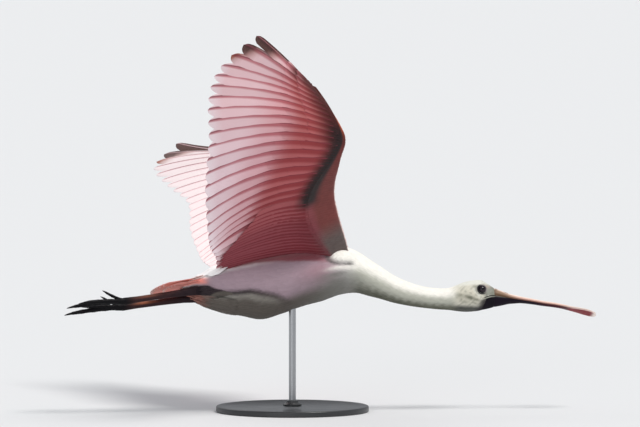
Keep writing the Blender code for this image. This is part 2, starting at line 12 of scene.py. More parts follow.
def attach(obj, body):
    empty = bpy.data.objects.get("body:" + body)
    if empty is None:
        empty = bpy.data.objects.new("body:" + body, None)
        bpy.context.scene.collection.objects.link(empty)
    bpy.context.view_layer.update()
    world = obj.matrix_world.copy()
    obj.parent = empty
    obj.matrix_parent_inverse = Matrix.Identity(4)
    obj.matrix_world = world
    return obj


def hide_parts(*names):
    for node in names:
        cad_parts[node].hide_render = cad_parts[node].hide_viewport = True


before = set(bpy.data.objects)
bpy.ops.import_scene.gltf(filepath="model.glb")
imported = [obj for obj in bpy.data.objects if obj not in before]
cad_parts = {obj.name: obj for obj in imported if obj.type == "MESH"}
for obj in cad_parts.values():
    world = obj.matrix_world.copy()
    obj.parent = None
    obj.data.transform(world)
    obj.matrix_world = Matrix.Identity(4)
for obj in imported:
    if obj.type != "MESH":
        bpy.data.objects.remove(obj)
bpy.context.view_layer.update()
rng = np.random.default_rng(11)

birdPose = {"bankDeg": -16.0, "pitchDeg": 2.0, "placeMm": (14.0, 8.0, 215.0)}
poseAngles = [math.radians(birdPose[key]) for key in ("bankDeg", "pitchDeg")]
poseTurn = np.array(Euler((*poseAngles, 0.0)).to_matrix())
bothSides = (("left", 1), ("right", -1))  # the bird's left is +Y


def toStand(points):
    return (np.asarray(points, float) @ poseTurn.T + np.array(birdPose["placeMm"])) * 0.001


def srgb(r, g, b):
    c = np.array((r, g, b), float) / 255.0
    return np.where(c <= 0.04045, c / 12.92, ((c + 0.055) / 1.055) ** 2.4)


def blendColour(low, high, amount):
    return low + (high - low) * np.asarray(amount)[..., None]


def ease(low, high, value):
    t = np.clip((value - low) / (high - low), 0.0, 1.0)
    return t * t * (3 - 2 * t)


def bump(centre, width, value):
    return np.exp(-(((value - centre) / width) ** 2))


def unit(v):
    return v / np.linalg.norm(v, axis=-1, keepdims=True)


def each(values):
    # one value a feather, ready to spread over its rows and columns
    return np.asarray(values, float)[:, None, None]


def turns(sides):
    # evenly spaced angles round a ring
    return np.linspace(0, 2 * math.pi, sides, endpoint=False)


def lengthAlong(points):
    # the way from the first point of a line to each of its points
    return np.concatenate([[0], np.cumsum(np.linalg.norm(np.diff(points, axis=0), axis=1))])


def curveAt(keys, places):
    # a smooth curve through (place, value) keys, read at many places
    at = np.array([k[0] for k in keys], float)
    values = np.array([np.atleast_1d(k[1]) for k in keys], float)
    slopes = np.gradient(values, at, axis=0)
    places = np.asarray(places, float)
    i = np.clip(np.searchsorted(at, places) - 1, 0, len(at) - 2)
    span = (at[i + 1] - at[i])[..., None]
    t = (places - at[i])[..., None] / span
    return (
        (2 * t**3 - 3 * t**2 + 1) * values[i]
        + (t**3 - 2 * t**2 + t) * span * slopes[i]
        + (3 * t**2 - 2 * t**3) * values[i + 1]
        + (t**3 - t**2) * span * slopes[i + 1]
    )


def linear(keys, places):
    return np.interp(places, [k[0] for k in keys], [k[1] for k in keys])


# Materials: what several finishes share is a node group


def newGroup(name, inputs, outputs):
    group = bpy.data.node_groups.new(name, "ShaderNodeTree")
    for label, kind, value in inputs:
        socket = group.interface.new_socket(name=label, in_out="INPUT", socket_type=kind)
        if value is not None:
            socket.default_value = value
    for label, kind in outputs:
        group.interface.new_socket(name=label, in_out="OUTPUT", socket_type=kind)
    return group, group.nodes.new("NodeGroupInput"), group.nodes.new("NodeGroupOutput")


def mathNode(tree, operation, *values, clamp=False):
    node = tree.nodes.new("ShaderNodeMath")
    node.operation = operation
    node.use_clamp = clamp
    for socket, value in zip(node.inputs, values):
        if isinstance(value, (int, float)):
            socket.default_value = value
        else:
            tree.links.new(value, socket)
    return node.outputs[0]


def mixColour(tree, amount, low, high, mode="MIX"):
    node = tree.nodes.new("ShaderNodeMix")
    node.data_type = "RGBA"
    node.blend_type = mode
    for socket, value in ((node.inputs[0], amount), (node.inputs[6], low), (node.inputs[7], high)):
        if isinstance(value, (int, float)):
            socket.default_value = value
        elif isinstance(value, (tuple, np.ndarray)):
            socket.default_value = (*value, 1.0)
        else:
            tree.links.new(value, socket)
    return node.outputs[2]


def makeVaneGroup():
    # barbs, shaft and the shaded strip beside it, from the vane map:
    # its first value is the place across in feather spacings + 1, its second the place along, 0 to 1
    number = "NodeSocketFloat"
    group, given, out = newGroup(
        "featherVane",
        [
            ("Vane", "NodeSocketVector", None),
            ("Barbs", number, 60.0),
            ("Shaft width", number, 0.05),
            ("Strip width", number, 0.35),
        ],
        [(label, number) for label in ("Barb", "Shaft", "Strip", "Height")],
    )
    split = group.nodes.new("ShaderNodeSeparateXYZ")
    group.links.new(given.outputs["Vane"], split.inputs[0])
    across = mathNode(group, "SUBTRACT", split.outputs[0], 1.0)
    along = split.outputs[1]
    reach = mathNode(group, "ABSOLUTE", across)
    slant = mathNode(group, "MULTIPLY", reach, -0.12)
    place = mathNode(group, "ADD", along, slant)
    noise = group.nodes.new("ShaderNodeTexNoise")
    noise.inputs["Scale"].default_value = 9.0
    noise.inputs["Detail"].default_value = 3.0
    group.links.new(given.outputs["Vane"], noise.inputs["Vector"])
    stir = mathNode(group, "MULTIPLY", noise.outputs[0], 0.05)
    place = mathNode(group, "ADD", place, stir)
    cycles = mathNode(group, "MULTIPLY", place, given.outputs["Barbs"])
    wave = mathNode(group, "SINE", mathNode(group, "MULTIPLY", cycles, 6.283))
    barb = mathNode(group, "MULTIPLY_ADD", wave, 0.5, 0.5)
    group.links.new(barb, out.inputs["Barb"])
    shaft = mathNode(group, "DIVIDE", reach, given.outputs["Shaft width"])
    shaft = mathNode(group, "SUBTRACT", 1.0, shaft, clamp=True)
    group.links.new(shaft, out.inputs["Shaft"])
    inward, outward = (mathNode(group, "MULTIPLY", across, by) for by in (-1.0, 4.0))
    inner = mathNode(group, "MAXIMUM", inward, outward)
    narrow = mathNode(group, "SUBTRACT", 1.25, along)
    narrow = mathNode(group, "MULTIPLY", given.outputs["Strip width"], narrow)
    strip = mathNode(group, "SUBTRACT", 1.0, mathNode(group, "DIVIDE", inner, narrow))
    strip = mathNode(group, "MULTIPLY", strip, 2.2, clamp=True)
    group.links.new(strip, out.inputs["Strip"])
    height = mathNode(group, "MULTIPLY_ADD", barb, 0.3, shaft)
    group.links.new(height, out.inputs["Height"])
    return group


def makeMottleGroup():
    # cloudy light and dark variation over a surface, and its relief
    group, given, out = newGroup(
        "mottle",
        [
            ("Vector", "NodeSocketVector", None),
            ("Size", "NodeSocketFloat", 40.0),
            ("Grain", "NodeSocketFloat", 300.0),
        ],
        [("Cloud", "NodeSocketFloat"), ("Height", "NodeSocketFloat")],
    )
    cloud = group.nodes.new("ShaderNodeTexNoise")
    cloud.inputs["Detail"].default_value = 5.0
    grain = group.nodes.new("ShaderNodeTexVoronoi")
    for node, size in ((cloud, "Size"), (grain, "Grain")):
        group.links.new(given.outputs["Vector"], node.inputs["Vector"])
        group.links.new(given.outputs[size], node.inputs["Scale"])
    group.links.new(cloud.outputs[0], out.inputs["Cloud"])
    relief = mathNode(group, "MULTIPLY_ADD", grain.outputs["Distance"], 0.6, cloud.outputs[0])
    group.links.new(relief, out.inputs["Height"])
    return group


vaneGroup = makeVaneGroup()
mottleGroup = makeMottleGroup()


def startMaterial(name, roughness, **sockets):
    material = bpy.data.materials.new(name)
    material.use_nodes = True
    shader = material.node_tree.nodes["Principled BSDF"]
    shader.inputs["Roughness"].default_value = roughness
    for label, value in sockets.items():
        shader.inputs[label.replace("_", " ")].default_value = value
    return material, material.node_tree, shader


def placeGroup(tree, group, vector, **values):
    node = tree.nodes.new("ShaderNodeGroup")
    node.node_tree = group
    tree.links.new(vector, node.inputs[0])
    for label, value in values.items():
        node.inputs[label.replace("_", " ")].default_value = value
    return node


def addBump(tree, shader, height, strength, distance):
    node = tree.nodes.new("ShaderNodeBump")
    node.inputs["Strength"].default_value = strength
    node.inputs["Distance"].default_value = distance
    tree.links.new(height, node.inputs["Height"])
    tree.links.new(node.outputs[0], shader.inputs["Normal"])


def plumageColour(tree):
    node = tree.nodes.new("ShaderNodeAttribute")
    node.attribute_name = "plumage"
    return node.outputs["Color"]


def vaneMaterial(name, look):
    material, tree, shader = startMaterial(
        name, look["roughness"], Sheen_Weight=look["sheen"], Sheen_Roughness=0.5, Specular_IOR_Level=0.22
    )
    uv = tree.nodes.new("ShaderNodeUVMap")
    uv.uv_map = "vane"
    widths = {"Shaft_width": look["shaft"], "Strip_width": look["strip"]}
    marks = placeGroup(tree, vaneGroup, uv.outputs[0], Barbs=look["barbs"], **widths)
    colour = plumageColour(tree)
    # barbs and the strip of painted shade beside the shaft darken the colour, and the shaft is mixed over it
    for mark, mode in (("Barb", "MULTIPLY"), ("Strip", "MULTIPLY"), ("Shaft", "MIX")):
        depth, tone = look[mark.lower() + "Depth"], look[mark.lower() + "Colour"]
        colour = mixColour(tree, mathNode(tree, "MULTIPLY", marks.outputs[mark], depth), colour, tone, mode)
    tree.links.new(colour, shader.inputs["Base Color"])
    addBump(tree, shader, marks.outputs["Height"], look["bump"], 0.0004)
    return material


# each look's strip colour is painted shade beside the shaft, where the next feather overlaps the vane
vaneLooks = {
    "remexUnder": {
        "roughness": 0.66, "sheen": 0.04, "bump": 0.5,
        "barbs": 150.0, "barbDepth": 0.14, "barbColour": srgb(224, 186, 192),
        "shaft": 0.1, "shaftDepth": 0.9, "shaftColour": srgb(132, 58, 68),
        "strip": 0.72, "stripDepth": 0.85, "stripColour": srgb(206, 142, 150),
    },
    "remexUpper": {
        "roughness": 0.6, "sheen": 0.15, "bump": 0.5,
        "barbs": 150.0, "barbDepth": 0.1, "barbColour": srgb(236, 214, 216),
        "shaft": 0.07, "shaftDepth": 0.65, "shaftColour": srgb(226, 176, 182),
        "strip": 0.4, "stripDepth": 0.5, "stripColour": srgb(240, 206, 212),
    },
    "covertUnder": {
        "roughness": 0.74, "sheen": 0.05, "bump": 0.5,
        "barbs": 46.0, "barbDepth": 0.16, "barbColour": srgb(196, 146, 150),
        "shaft": 0.09, "shaftDepth": 0.35, "shaftColour": srgb(104, 46, 52),
        "strip": 0.72, "stripDepth": 0.5, "stripColour": srgb(200, 140, 146),
    },
    "covertUpper": {
        "roughness": 0.68, "sheen": 0.15, "bump": 0.5,
        "barbs": 46.0, "barbDepth": 0.12, "barbColour": srgb(232, 206, 208),
        "shaft": 0.08, "shaftDepth": 0.4, "shaftColour": srgb(232, 190, 194),
        "strip": 0.4, "stripDepth": 0.25, "stripColour": srgb(236, 206, 210),
    },
    "contour": {
        "roughness": 0.82, "sheen": 0.08, "bump": 0.3,
        "barbs": 16.0, "barbDepth": 0.1, "barbColour": srgb(214, 206, 200),
        "shaft": 0.12, "shaftDepth": 0.1, "shaftColour": srgb(190, 176, 168),
        "strip": 0.5, "stripDepth": 0.08, "stripColour": srgb(205, 190, 186),
    },
    "tail": {
        "roughness": 0.62, "sheen": 0.08, "bump": 0.5,
        "barbs": 90.0, "barbDepth": 0.14, "barbColour": srgb(220, 170, 160),
        "shaft": 0.09, "shaftDepth": 0.6, "shaftColour": srgb(176, 84, 74),
        "strip": 0.5, "stripDepth": 0.45, "stripColour": srgb(206, 140, 130),
    },
}
vaneMaterials = {name: vaneMaterial(name + "Feather", look) for name, look in vaneLooks.items()}


def mottledMaterial(name, look):
    # a finish whose main colour is painted on the mesh, with clouding, grain and relief over it
    material, tree, shader = startMaterial(
        name, look["roughness"], Specular_IOR_Level=look["shine"],
        Coat_Weight=look.get("coat", 0.0), Coat_Roughness=look.get("coatRoughness", 0.2),
    )
    coords = tree.nodes.new("ShaderNodeTexCoord")
    marks = placeGroup(tree, mottleGroup, coords.outputs["Object"], Size=look["size"], Grain=look["grain"])
    depth = look["cloud"]
    amount = mathNode(tree, "MULTIPLY_ADD", marks.outputs["Cloud"], depth * 2, -depth * 0.7, clamp=True)
    colour = mixColour(tree, amount, plumageColour(tree), look["cloudColour"], "MULTIPLY")
    tree.links.new(colour, shader.inputs["Base Color"])
    rough = mathNode(tree, "MULTIPLY_ADD", marks.outputs["Cloud"], 0.25, look["roughness"] - 0.12)
    tree.links.new(rough, shader.inputs["Roughness"])
    addBump(tree, shader, marks.outputs["Height"], look["bump"], look["bumpDistance"])
    return material


finishes = {
    "skin": mottledMaterial("bareSkin", {
        "roughness": 0.62, "size": 110.0, "grain": 900.0, "cloud": 0.5, "cloudColour": srgb(140, 130, 118),
        "bump": 0.5, "bumpDistance": 0.0006, "shine": 0.1,
    }),
    "bill": mottledMaterial("billHorn", {
        "roughness": 0.46, "size": 90.0, "grain": 700.0, "cloud": 0.35, "cloudColour": srgb(186, 160, 142),
        "bump": 0.35, "bumpDistance": 0.0003, "shine": 0.08,
    }),
    "leg": mottledMaterial("scaledLeg", {
        "roughness": 0.5, "size": 120.0, "grain": 520.0, "cloud": 0.4, "cloudColour": srgb(110, 84, 80),
        "bump": 0.6, "bumpDistance": 0.0005, "coat": 0.03, "shine": 0.1,
    }),
    "claw": mottledMaterial("clawHorn", {
        "roughness": 0.3, "size": 200.0, "grain": 1200.0, "cloud": 0.3, "cloudColour": srgb(90, 80, 76),
        "bump": 0.2, "bumpDistance": 0.0002, "coat": 0.1, "shine": 0.15,
    }),
    "eye": mottledMaterial("eyeball", {
        "roughness": 0.14, "size": 500.0, "grain": 1500.0, "cloud": 0.4, "cloudColour": srgb(110, 70, 74),
        "bump": 0.0, "bumpDistance": 0.0001, "coat": 0.45, "coatRoughness": 0.03, "shine": 0.15,
    }),
}


# Meshes


def addPiece(
    name, points, faces, materials,
    colours=None, maps=None, faceMaterial=None, sharpDeg=48.0, placed=False,
):
    mesh = bpy.data.meshes.new(name)
    where = points if placed else toStand(points)
    cells = faces if isinstance(faces, list) else faces.tolist()
    mesh.from_pydata(np.asarray(where, float).tolist(), [], cells)
    mesh.polygons.foreach_set("use_smooth", np.ones(len(mesh.polygons), bool))
    for material in materials:
        mesh.materials.append(material)
    if faceMaterial is not None:
        mesh.polygons.foreach_set("material_index", np.asarray(faceMaterial, np.int32))
    corner = np.empty(len(mesh.loops), np.int32)
    mesh.loops.foreach_get("vertex_index", corner)
    for label, values in (maps or {}).items():
        layer = mesh.uv_layers.new(name=label)
        layer.data.foreach_set("uv", np.asarray(values, np.float32)[corner].ravel())
    if colours is not None:
        layer = mesh.color_attributes.new("plumage", "FLOAT_COLOR", "POINT")
        rgba = np.ones((len(colours), 4), np.float32)
        rgba[:, :3] = np.clip(colours, 0.0, 1.0)
        layer.data.foreach_set("color", rgba.ravel())
    mesh.set_sharp_from_angle(angle=math.radians(sharpDeg))
    piece = bpy.data.objects.new(name, mesh)
    bpy.context.scene.collection.objects.link(piece)
    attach(piece, "root")
    return piece


def plateFaces(count, rows, columns):
    # quads of many thin closed plates; all the top grids come first, then all the bottom grids
    r, c = np.meshgrid(np.arange(rows - 1), np.arange(columns - 1), indexing="ij")
    a = (r * columns + c).ravel()
    top = np.stack([a, a + 1, a + columns + 1, a + columns], 1)
    edge = np.concatenate([
        np.arange(columns),
        np.arange(1, rows) * columns + columns - 1,
        (rows - 1) * columns + np.arange(columns - 2, -1, -1),
        np.arange(rows - 2, 0, -1) * columns,
    ])
    after = np.roll(edge, -1)
    under = count * rows * columns
    start = (np.arange(count) * rows * columns)[:, None, None]
    tops = (top + start).reshape(-1, 4)
    bottoms = (top[:, [0, 3, 2, 1]] + start + under).reshape(-1, 4)
    sides = (np.stack([after, edge, edge + under, after + under], 1) + start).reshape(-1, 4)
    return np.concatenate([tops, bottoms, sides]), len(tops), len(bottoms)


def vaneGrid(shape):
    # places along a feather as a column and across it as a row, so that both spread over any number
    return np.linspace(0, 1, shape["rows"])[:, None], np.linspace(-1, 1, shape["columns"])


def addVanes(
    name, top, bottom, across, along, bakeRoot, bakeSize, materials, colourTop, colourBottom
):
    # top and bottom are (feather, row, column, xyz); across is in spacings, with the shaft at 0
    count, rows, columns = top.shape[:3]
    faces, tops, bottoms = plateFaces(count, rows, columns)
    vane = np.stack([across + 1.0, along], -1).reshape(-1, 2)
    local = np.stack(np.broadcast_arrays(np.linspace(0, 1, columns), np.linspace(0, 1, rows)[:, None]), -1)
    patch = bakeRoot[:, None, None] + local * np.array((0.46, 0.96)) * bakeSize
    beside = patch + np.array((0.5, 0.0)) * bakeSize
    maps = {
        "vane": np.concatenate([vane, vane]),
        "OFBake": np.concatenate([patch.reshape(-1, 2), beside.reshape(-1, 2)]),
    }
    points, colours = (
        np.concatenate([upper.reshape(-1, 3), lower.reshape(-1, 3)])
        for upper, lower in ((top, bottom), (colourTop, colourBottom))
    )
    faceMaterial = np.zeros(len(faces), np.int32)
    if len(materials) > 1:
        faceMaterial[tops : tops + bottoms] = 1
    piece = addPiece(name, points, faces, materials, colours, maps, faceMaterial)
    print("made", name, count, "feathers,", len(faces) * 2, "triangles")
    return piece


def addCoat(
    name, top, bottom, across, share, bakeRoot, bakeSize, colour, finish="contour", slotName="pale_feather"
):
    # feathers with one finish and colour on both faces
    return addVanes(
        name, top, bottom, across, share + 0 * across, bakeRoot, bakeSize, [vaneMaterials[finish]],
        colour, colour,
    )


def loft(rings, capStart=True, capEnd=True):
    # points and faces of a skin over rings with the same number of points
    rings = np.asarray(rings, float)
    rows, sides = rings.shape[:2]
    r, i = np.meshgrid(np.arange(rows - 1), np.arange(sides), indexing="ij")
    j = (i + 1) % sides
    low, high = r * sides, (r + 1) * sides
    faces = np.stack([low + i, low + j, high + j, high + i], -1).reshape(-1, 4).tolist()
    if capStart:
        faces.append(list(range(sides))[::-1])
    if capEnd:
        faces.append([(rows - 1) * sides + k for k in range(sides)])
    return rings.reshape(-1, 3), faces


def joined(lofts):
    # several lofts as one set of points and faces
    points, faces, start = [], [], 0
    for more, cells in lofts:
        points.append(more)
        faces += [[i + start for i in cell] for cell in cells]
        start += len(more)
    return np.concatenate(points), faces


def turnOutward(piece):
    made = bmesh.new()
    made.from_mesh(piece.data)
    bmesh.ops.recalc_face_normals(made, faces=made.faces)
    made.to_mesh(piece.data)
    made.free()
    return piece


def addShell(name, rings, finish, colours=None, sharpDeg=75.0, placed=False):
    # a closed skin over rings, in one finish
    points, faces = loft(rings)
    return turnOutward(
        addPiece(name, points, faces, [finish], colours, sharpDeg=sharpDeg, placed=placed)
    )


# The body's own surface: place along X, centre height, half width, height up and down
bodyShape = {
    "stations": (
        (-196, -8, 9, 8, 7), (-182, -4, 15, 13, 14),
        (-168, -3, 20, 15, 22), (-150, -4, 31, 24, 36), (-128, -6, 40, 34, 46), (-98, -7, 48, 47, 50),
        (-66, -5, 54, 56, 57), (-30, 2, 57, 58, 53), (6, 13, 57, 53, 50), (40, 22, 52, 48, 49),
        (72, 27, 44, 43, 42), (100, 24, 34, 36, 36), (118, 16.5, 28.5, 32, 33), (137, 8.3, 24, 28.5, 29),
        (158, -1.5, 20.5, 24.5, 25), (182, -9.5, 18, 21.5, 21.5), (208, -15, 16.5, 19.2, 19.2),
        (234, -17.5, 16.5, 18.5, 18.7), (256, -17.2, 17.5, 19.6, 20), (268, -15.5, 19, 22.8, 23),
        (282, -13.2, 20.5, 26, 26.2), (298, -11.4, 21, 27.4, 26.8), (312, -10.4, 19, 26.2, 25.4),
        (324, -11.2, 15.5, 20.5, 21.6), (333, -12.6, 12.2, 16, 17.4),
    ),
    "keel": 0.18,
    "coat": ((-196, 1.0), (-100, 2.4), (60, 2.4), (120, 1.8), (250, 1.3), (300, 0.9), (322, 0.5), (333, 0.4)),
}
bodyGrid = np.linspace(-200, 336, 1073)
bodyTable = curveAt([(s[0], s[1:]) for s in bodyShape["stations"]], bodyGrid)


def bodyPoint(x, angle, lift=0.0):
    x, angle = np.broadcast_arrays(np.asarray(x, float), np.asarray(angle, float))
    centre, width, up, down = (np.interp(x, bodyGrid, bodyTable[:, k]) for k in range(4))
    side, rise = np.cos(angle), np.sin(angle)
    reach = np.where(rise > 0, up, down)
    keel = bodyShape["keel"] * np.clip(1 - (x - 100) / 40, 0.0, 1.0)
    narrow = 1 - keel * np.maximum(0.0, -rise) ** 2
    lift = np.asarray(lift, float)
    return np.stack([x, (width + lift) * side * narrow, centre + (reach + lift) * rise], -1)


def bothFaces(x, angle, lift, thick):
    return bodyPoint(x, angle, lift + thick), bodyPoint(x, angle, lift - thick)


# The wing's own surface: place u is 0 at the shoulder, 1 at the elbow, 2 at the wrist, 3 at the hand's end.
# Place s is -1 at the leading edge, 0 at the bone and 1 at the tips of the flight feathers.
wingShape = {
    "bones": ((0, (50, 34, 46)), (1, (-4, 134, 112)), (2, (45, 190, 218)), (3, (-15, 250, 292))),
    "leading": (
        (0.0, (80, 28, 58)), (1.0, (46, 112, 144)), (1.6, (49, 165, 184)), (2.0, (52.5, 192, 221)),
        (2.25, (33, 208, 250)), (2.7, (6, 236, 280)), (3.0, (-11.5, 252, 297)),
    ),
    "trailing": (
        (0.0, (-146, 22, 17)), (0.45, (-149, 38, 34)), (1.05, (-164, 64, 58)), (1.55, (-176, 140, 125)),
        (2.02, (-176, 228, 196)), (2.37, (-193, 338, 244)), (2.67, (-193, 436, 287)),
        (2.87, (-164, 475, 318)), (3.0, (-136, 466, 340)),
    ),
    "tipLead": ((0.0, 0.0), (1.5, -2.0), (2.1, -8.0), (2.45, -2.0), (2.7, 8.0), (3.0, 13.0)),
    "tipFall": 0.8,
    "bow": ((0.0, 0.05), (0.6, 0.11), (1.1, 0.175), (1.7, 0.165), (2.3, 0.11), (2.7, 0.07), (3.0, 0.065)),
    "leftBow": ((2.6, 0.0), (2.77, -0.03), (2.87, -0.075), (2.97, -0.15)),  # the left hand's tips sag
    "arch": 0.06,
    "tipsBack": (0.15, 1.2, 0.6),  # how far the tips lag behind their roots, round which place, how widely
    "halfThick": ((0.0, 13.0), (1.0, 9.5), (2.0, 7.5), (3.0, 4.5)),
    "section": (
        (-1.0, 0.14), (-0.88, 0.36), (-0.5, 0.55), (0.0, 0.9), (0.08, 0.7), (0.16, 0.36), (0.24, 0.16),
        (0.32, 0.0),
    ),
    "fleshShare": 0.86,  # how much of the arm is flesh, with feathers over it
    "end": 3.03,  # no feather reaches past this place
}
wingGrid = np.linspace(-0.1, 3.1, 961)


class WingChart:
    def __init__(self, side):
        self.side = side
        self.bones = curveAt(wingShape["bones"], wingGrid)
        self.lead = curveAt(wingShape["leading"], wingGrid)
        # the tips of the two wings are shifted opposite ways
        shift = curveAt(wingShape["tipLead"], wingGrid)[:, 0] * -side
        lag, where, width = wingShape["tipsBack"]
        self.tips = curveAt(wingShape["trailing"], wingGrid - lag * bump(where, width, wingGrid))
        self.tips[:, 0] += shift
        self.tips[:, 2] -= wingShape["tipFall"] * shift
        shoulder, handEnd = (np.array(wingShape["bones"][k][1], float) for k in (0, 3))
        self.span = unit(handEnd - shoulder)

    def read(self, table, u):
        return np.stack([np.interp(u, wingGrid, table[:, k]) for k in range(3)], -1)

    def along(self, u, t):
        root, tip = self.read(self.bones, u), self.read(self.tips, u)
        way = tip - root
        length = np.linalg.norm(way, axis=-1, keepdims=True)
        ahead = way / length
        outward = unit(self.span - ahead * (ahead @ self.span)[..., None])
        rise = unit(np.cross(outward, ahead))
        bow = linear(wingShape["bow"], u)[..., None]
        if self.side > 0:
            bow = bow + linear(wingShape["leftBow"], u)[..., None]
        middle = (root + tip) / 2 + length * (bow * outward + wingShape["arch"] * rise)
        t = np.asarray(t, float)[..., None]
        return (1 - t) ** 2 * root + 2 * t * (1 - t) * middle + t**2 * tip

    def normal(self, u, t):
        step = 0.02
        across = self.along(u + step, t) - self.along(u - step, t)
        ahead = self.along(u, t + step) - self.along(u, t - step)
        return unit(np.cross(across, ahead))

    def surface(self, u, s, lift):
        u, s, lift = np.broadcast_arrays(*(np.asarray(value, float) for value in (u, s, lift)))
        back = self.along(u, np.maximum(s, 0.0))
        lead = self.read(self.lead, u)
        front = lead + (self.read(self.bones, u) - lead) * (1 + np.minimum(s, 0.0))[..., None]
        point = np.where((s < 0)[..., None], front, back)
        point = point + self.normal(u, np.maximum(s, 0.04)) * lift[..., None]
        return point * np.array((1.0, self.side, 1.0))

    def bothFaces(self, u, s, lift, thick):
        return self.surface(u, s, lift + thick), self.surface(u, s, lift - thick)

    def flesh(self, u, s):
        # half thickness of the arm under the feathers
        return linear(wingShape["section"], s) * linear(wingShape["halfThick"], u)

    def spacing(self, u, s, pitch):
        ahead, behind = (self.surface(u + step, s, 0.0) for step in (pitch / 2, -pitch / 2))
        return np.linalg.norm(ahead - behind, axis=-1)


wings = {"right": WingChart(-1), "left": WingChart(1)}

# Plumage colours as they stand on the bird, some with painted shade or light in them
# the darker belly, fold, flank, neck, chest, under-head, armpit and forearm colours, the grey under the
# shoulder tuft and the deep rose by the body hold painted shade; the rim colour is a painted highlight, and
# the pale tip colour is partly painted light
hues = {
    "shadedLobeRose": srgb(140, 68, 76), "rose": srgb(178, 96, 98), "handRose": srgb(200, 112, 110),
    "mauve": srgb(224, 176, 182), "pink": srgb(238, 174, 178), "pale": srgb(240, 212, 218),
    "palePink": srgb(246, 208, 212), "paleTipGlow": srgb(252, 238, 242),
    "brown": srgb(74, 34, 24), "warmBrown": srgb(160, 82, 56), "forearmShade": srgb(44, 40, 40),
    "handBrown": srgb(88, 44, 40), "wingWhite": srgb(247, 231, 231), "patagium": srgb(122, 62, 58),
    "orange": srgb(206, 104, 60), "rim": srgb(250, 226, 220), "armpitShade": srgb(98, 94, 90),
    "white": srgb(254, 250, 249), "blush": srgb(248, 226, 230), "flank": srgb(167, 145, 155),
    "thighDown": srgb(152, 148, 140), "belly": srgb(90, 84, 78), "fold": srgb(66, 54, 56),
    "chestShade": srgb(116, 116, 110), "cream": srgb(248, 245, 236), "neckHalfShade": srgb(186, 187, 174),
    "neckShade": srgb(82, 84, 70), "grey": srgb(84, 82, 80), "tan": srgb(214, 210, 193),
    "cheek": srgb(104, 106, 90), "headUnder": srgb(60, 63, 60), "lores": srgb(142, 144, 135),
    "forehead": srgb(226, 226, 216), "brow": srgb(196, 170, 156), "gular": srgb(22, 17, 26),
    "tibia": srgb(38, 28, 34), "salmon": srgb(246, 144, 128), "tailWhite": srgb(253, 242, 238),
    "vent": srgb(168, 104, 92),
}
covertEdge = (
    (0, 1.0), (0.45, 0.97), (0.75, 0.78), (1.0, 0.66), (1.25, 0.6), (1.6, 0.54), (2.0, 0.46), (2.4, 0.32),
    (2.7, 0.26), (3, 0.22),
)


def layered(colour, *coats):
    # lays colours, given by name or as values, over a colour, each with how much of it covers
    for coat, amount in coats:
        colour = blendColour(colour, hues[coat] if isinstance(coat, str) else coat, amount)
    return colour


def roseAt(u):
    # deep rose by the body, darkened there with painted shade, warmer toward the hand
    return layered(hues["shadedLobeRose"], ("rose", ease(0.5, 1.4, u)), ("handRose", ease(1.5, 2.3, u)))


def remexUnder(u, t):
    # rose at the base, grey pink in the middle and pale at the tip; the grey pink and the pale are painted
    # lighter to stand for light shining through the feathers, and the pale tip is partly a painted glow
    edge, hand = linear(covertEdge, u), ease(1.8, 2.4, u)
    panel = blendColour(hues["mauve"], hues["pink"], hand) * (1 - 0.16 * ease(1.6, 0.8, u))[..., None]
    return layered(
        roseAt(u),
        (panel, ease(edge - 0.24, edge + 0.06, t)),
        (blendColour(hues["pale"], hues["palePink"], hand), ease(edge + 0.04, edge + 0.34, t)),
        ("paleTipGlow", ease(0.88, 1.0, t) * 0.8 * ease(0.3, 0.7, u)),
    )


# the outer three flight feathers end in brown: place, start, reach, front edge and colour
tipMarks = (
    (2.97, 0.5, 0.14, 1.0, "brown"), (2.87, 0.76, 0.1, 0.8, "brown"), (2.77, 0.9, 0.06, 0.3, "warmBrown"),
)


def wingTipMarks(u, t, across, colour):
    for place, start, reach, front, hue in tipMarks:
        one, far = np.abs(u - place) < 0.05, t + 0.1 * across
        edge = front * ease(0.03, 0.16, across) * ease(0.1, 0.3, t)
        mask = np.maximum(ease(start, start + reach, far), edge)
        glow = one * ease(start - 0.1, start + 0.04, far) * 0.6
        colour = layered(colour, ("warmBrown", glow), (hue, one * mask * 0.95))
    return colour


def covertUnderColour(u, s):
    # painted shade: a dark band along the bone of the forearm, and grey where the wing meets the body
    fromBone = np.abs(s * np.where(s > 0, 3.0, 1.0) + 0.06)
    return layered(
        roseAt(u) * (0.86 + 0.14 * ease(0.02, 0.3, s))[..., None],
        ("patagium", ease(-0.1, -0.35, s) * ease(2.05, 1.9, u)),
        ("handBrown", ease(1.78, 2.0, u) * ease(0.24, 0.04, s)),
        ("handBrown", ease(2.72, 2.9, u) * ease(0.6, 0.3, s) * 0.9),
        ("orange", bump(2.17, 0.14, u) * bump(-0.8, 0.4, s) * 0.95),
        ("forearmShade", ease(0.46, 0.12, fromBone) * ease(0.88, 1.06, u) * ease(2.3, 2.05, u)),
        ("armpitShade", ease(0.62, 0.25, u) * ease(0.14, -0.2, s) * 0.95),
        # a pale line of painted highlight along the leading edge
        ("rim", ease(-0.94, -0.995, s)),
    )


def covertUpperColour(u, s):
    # a pale line of painted highlight along the leading edge
    return layered(hues["wingWhite"], ("blush", 0.6 * bump(0.1, 0.35, s)), ("rim", ease(-0.85, -1.0, s)))


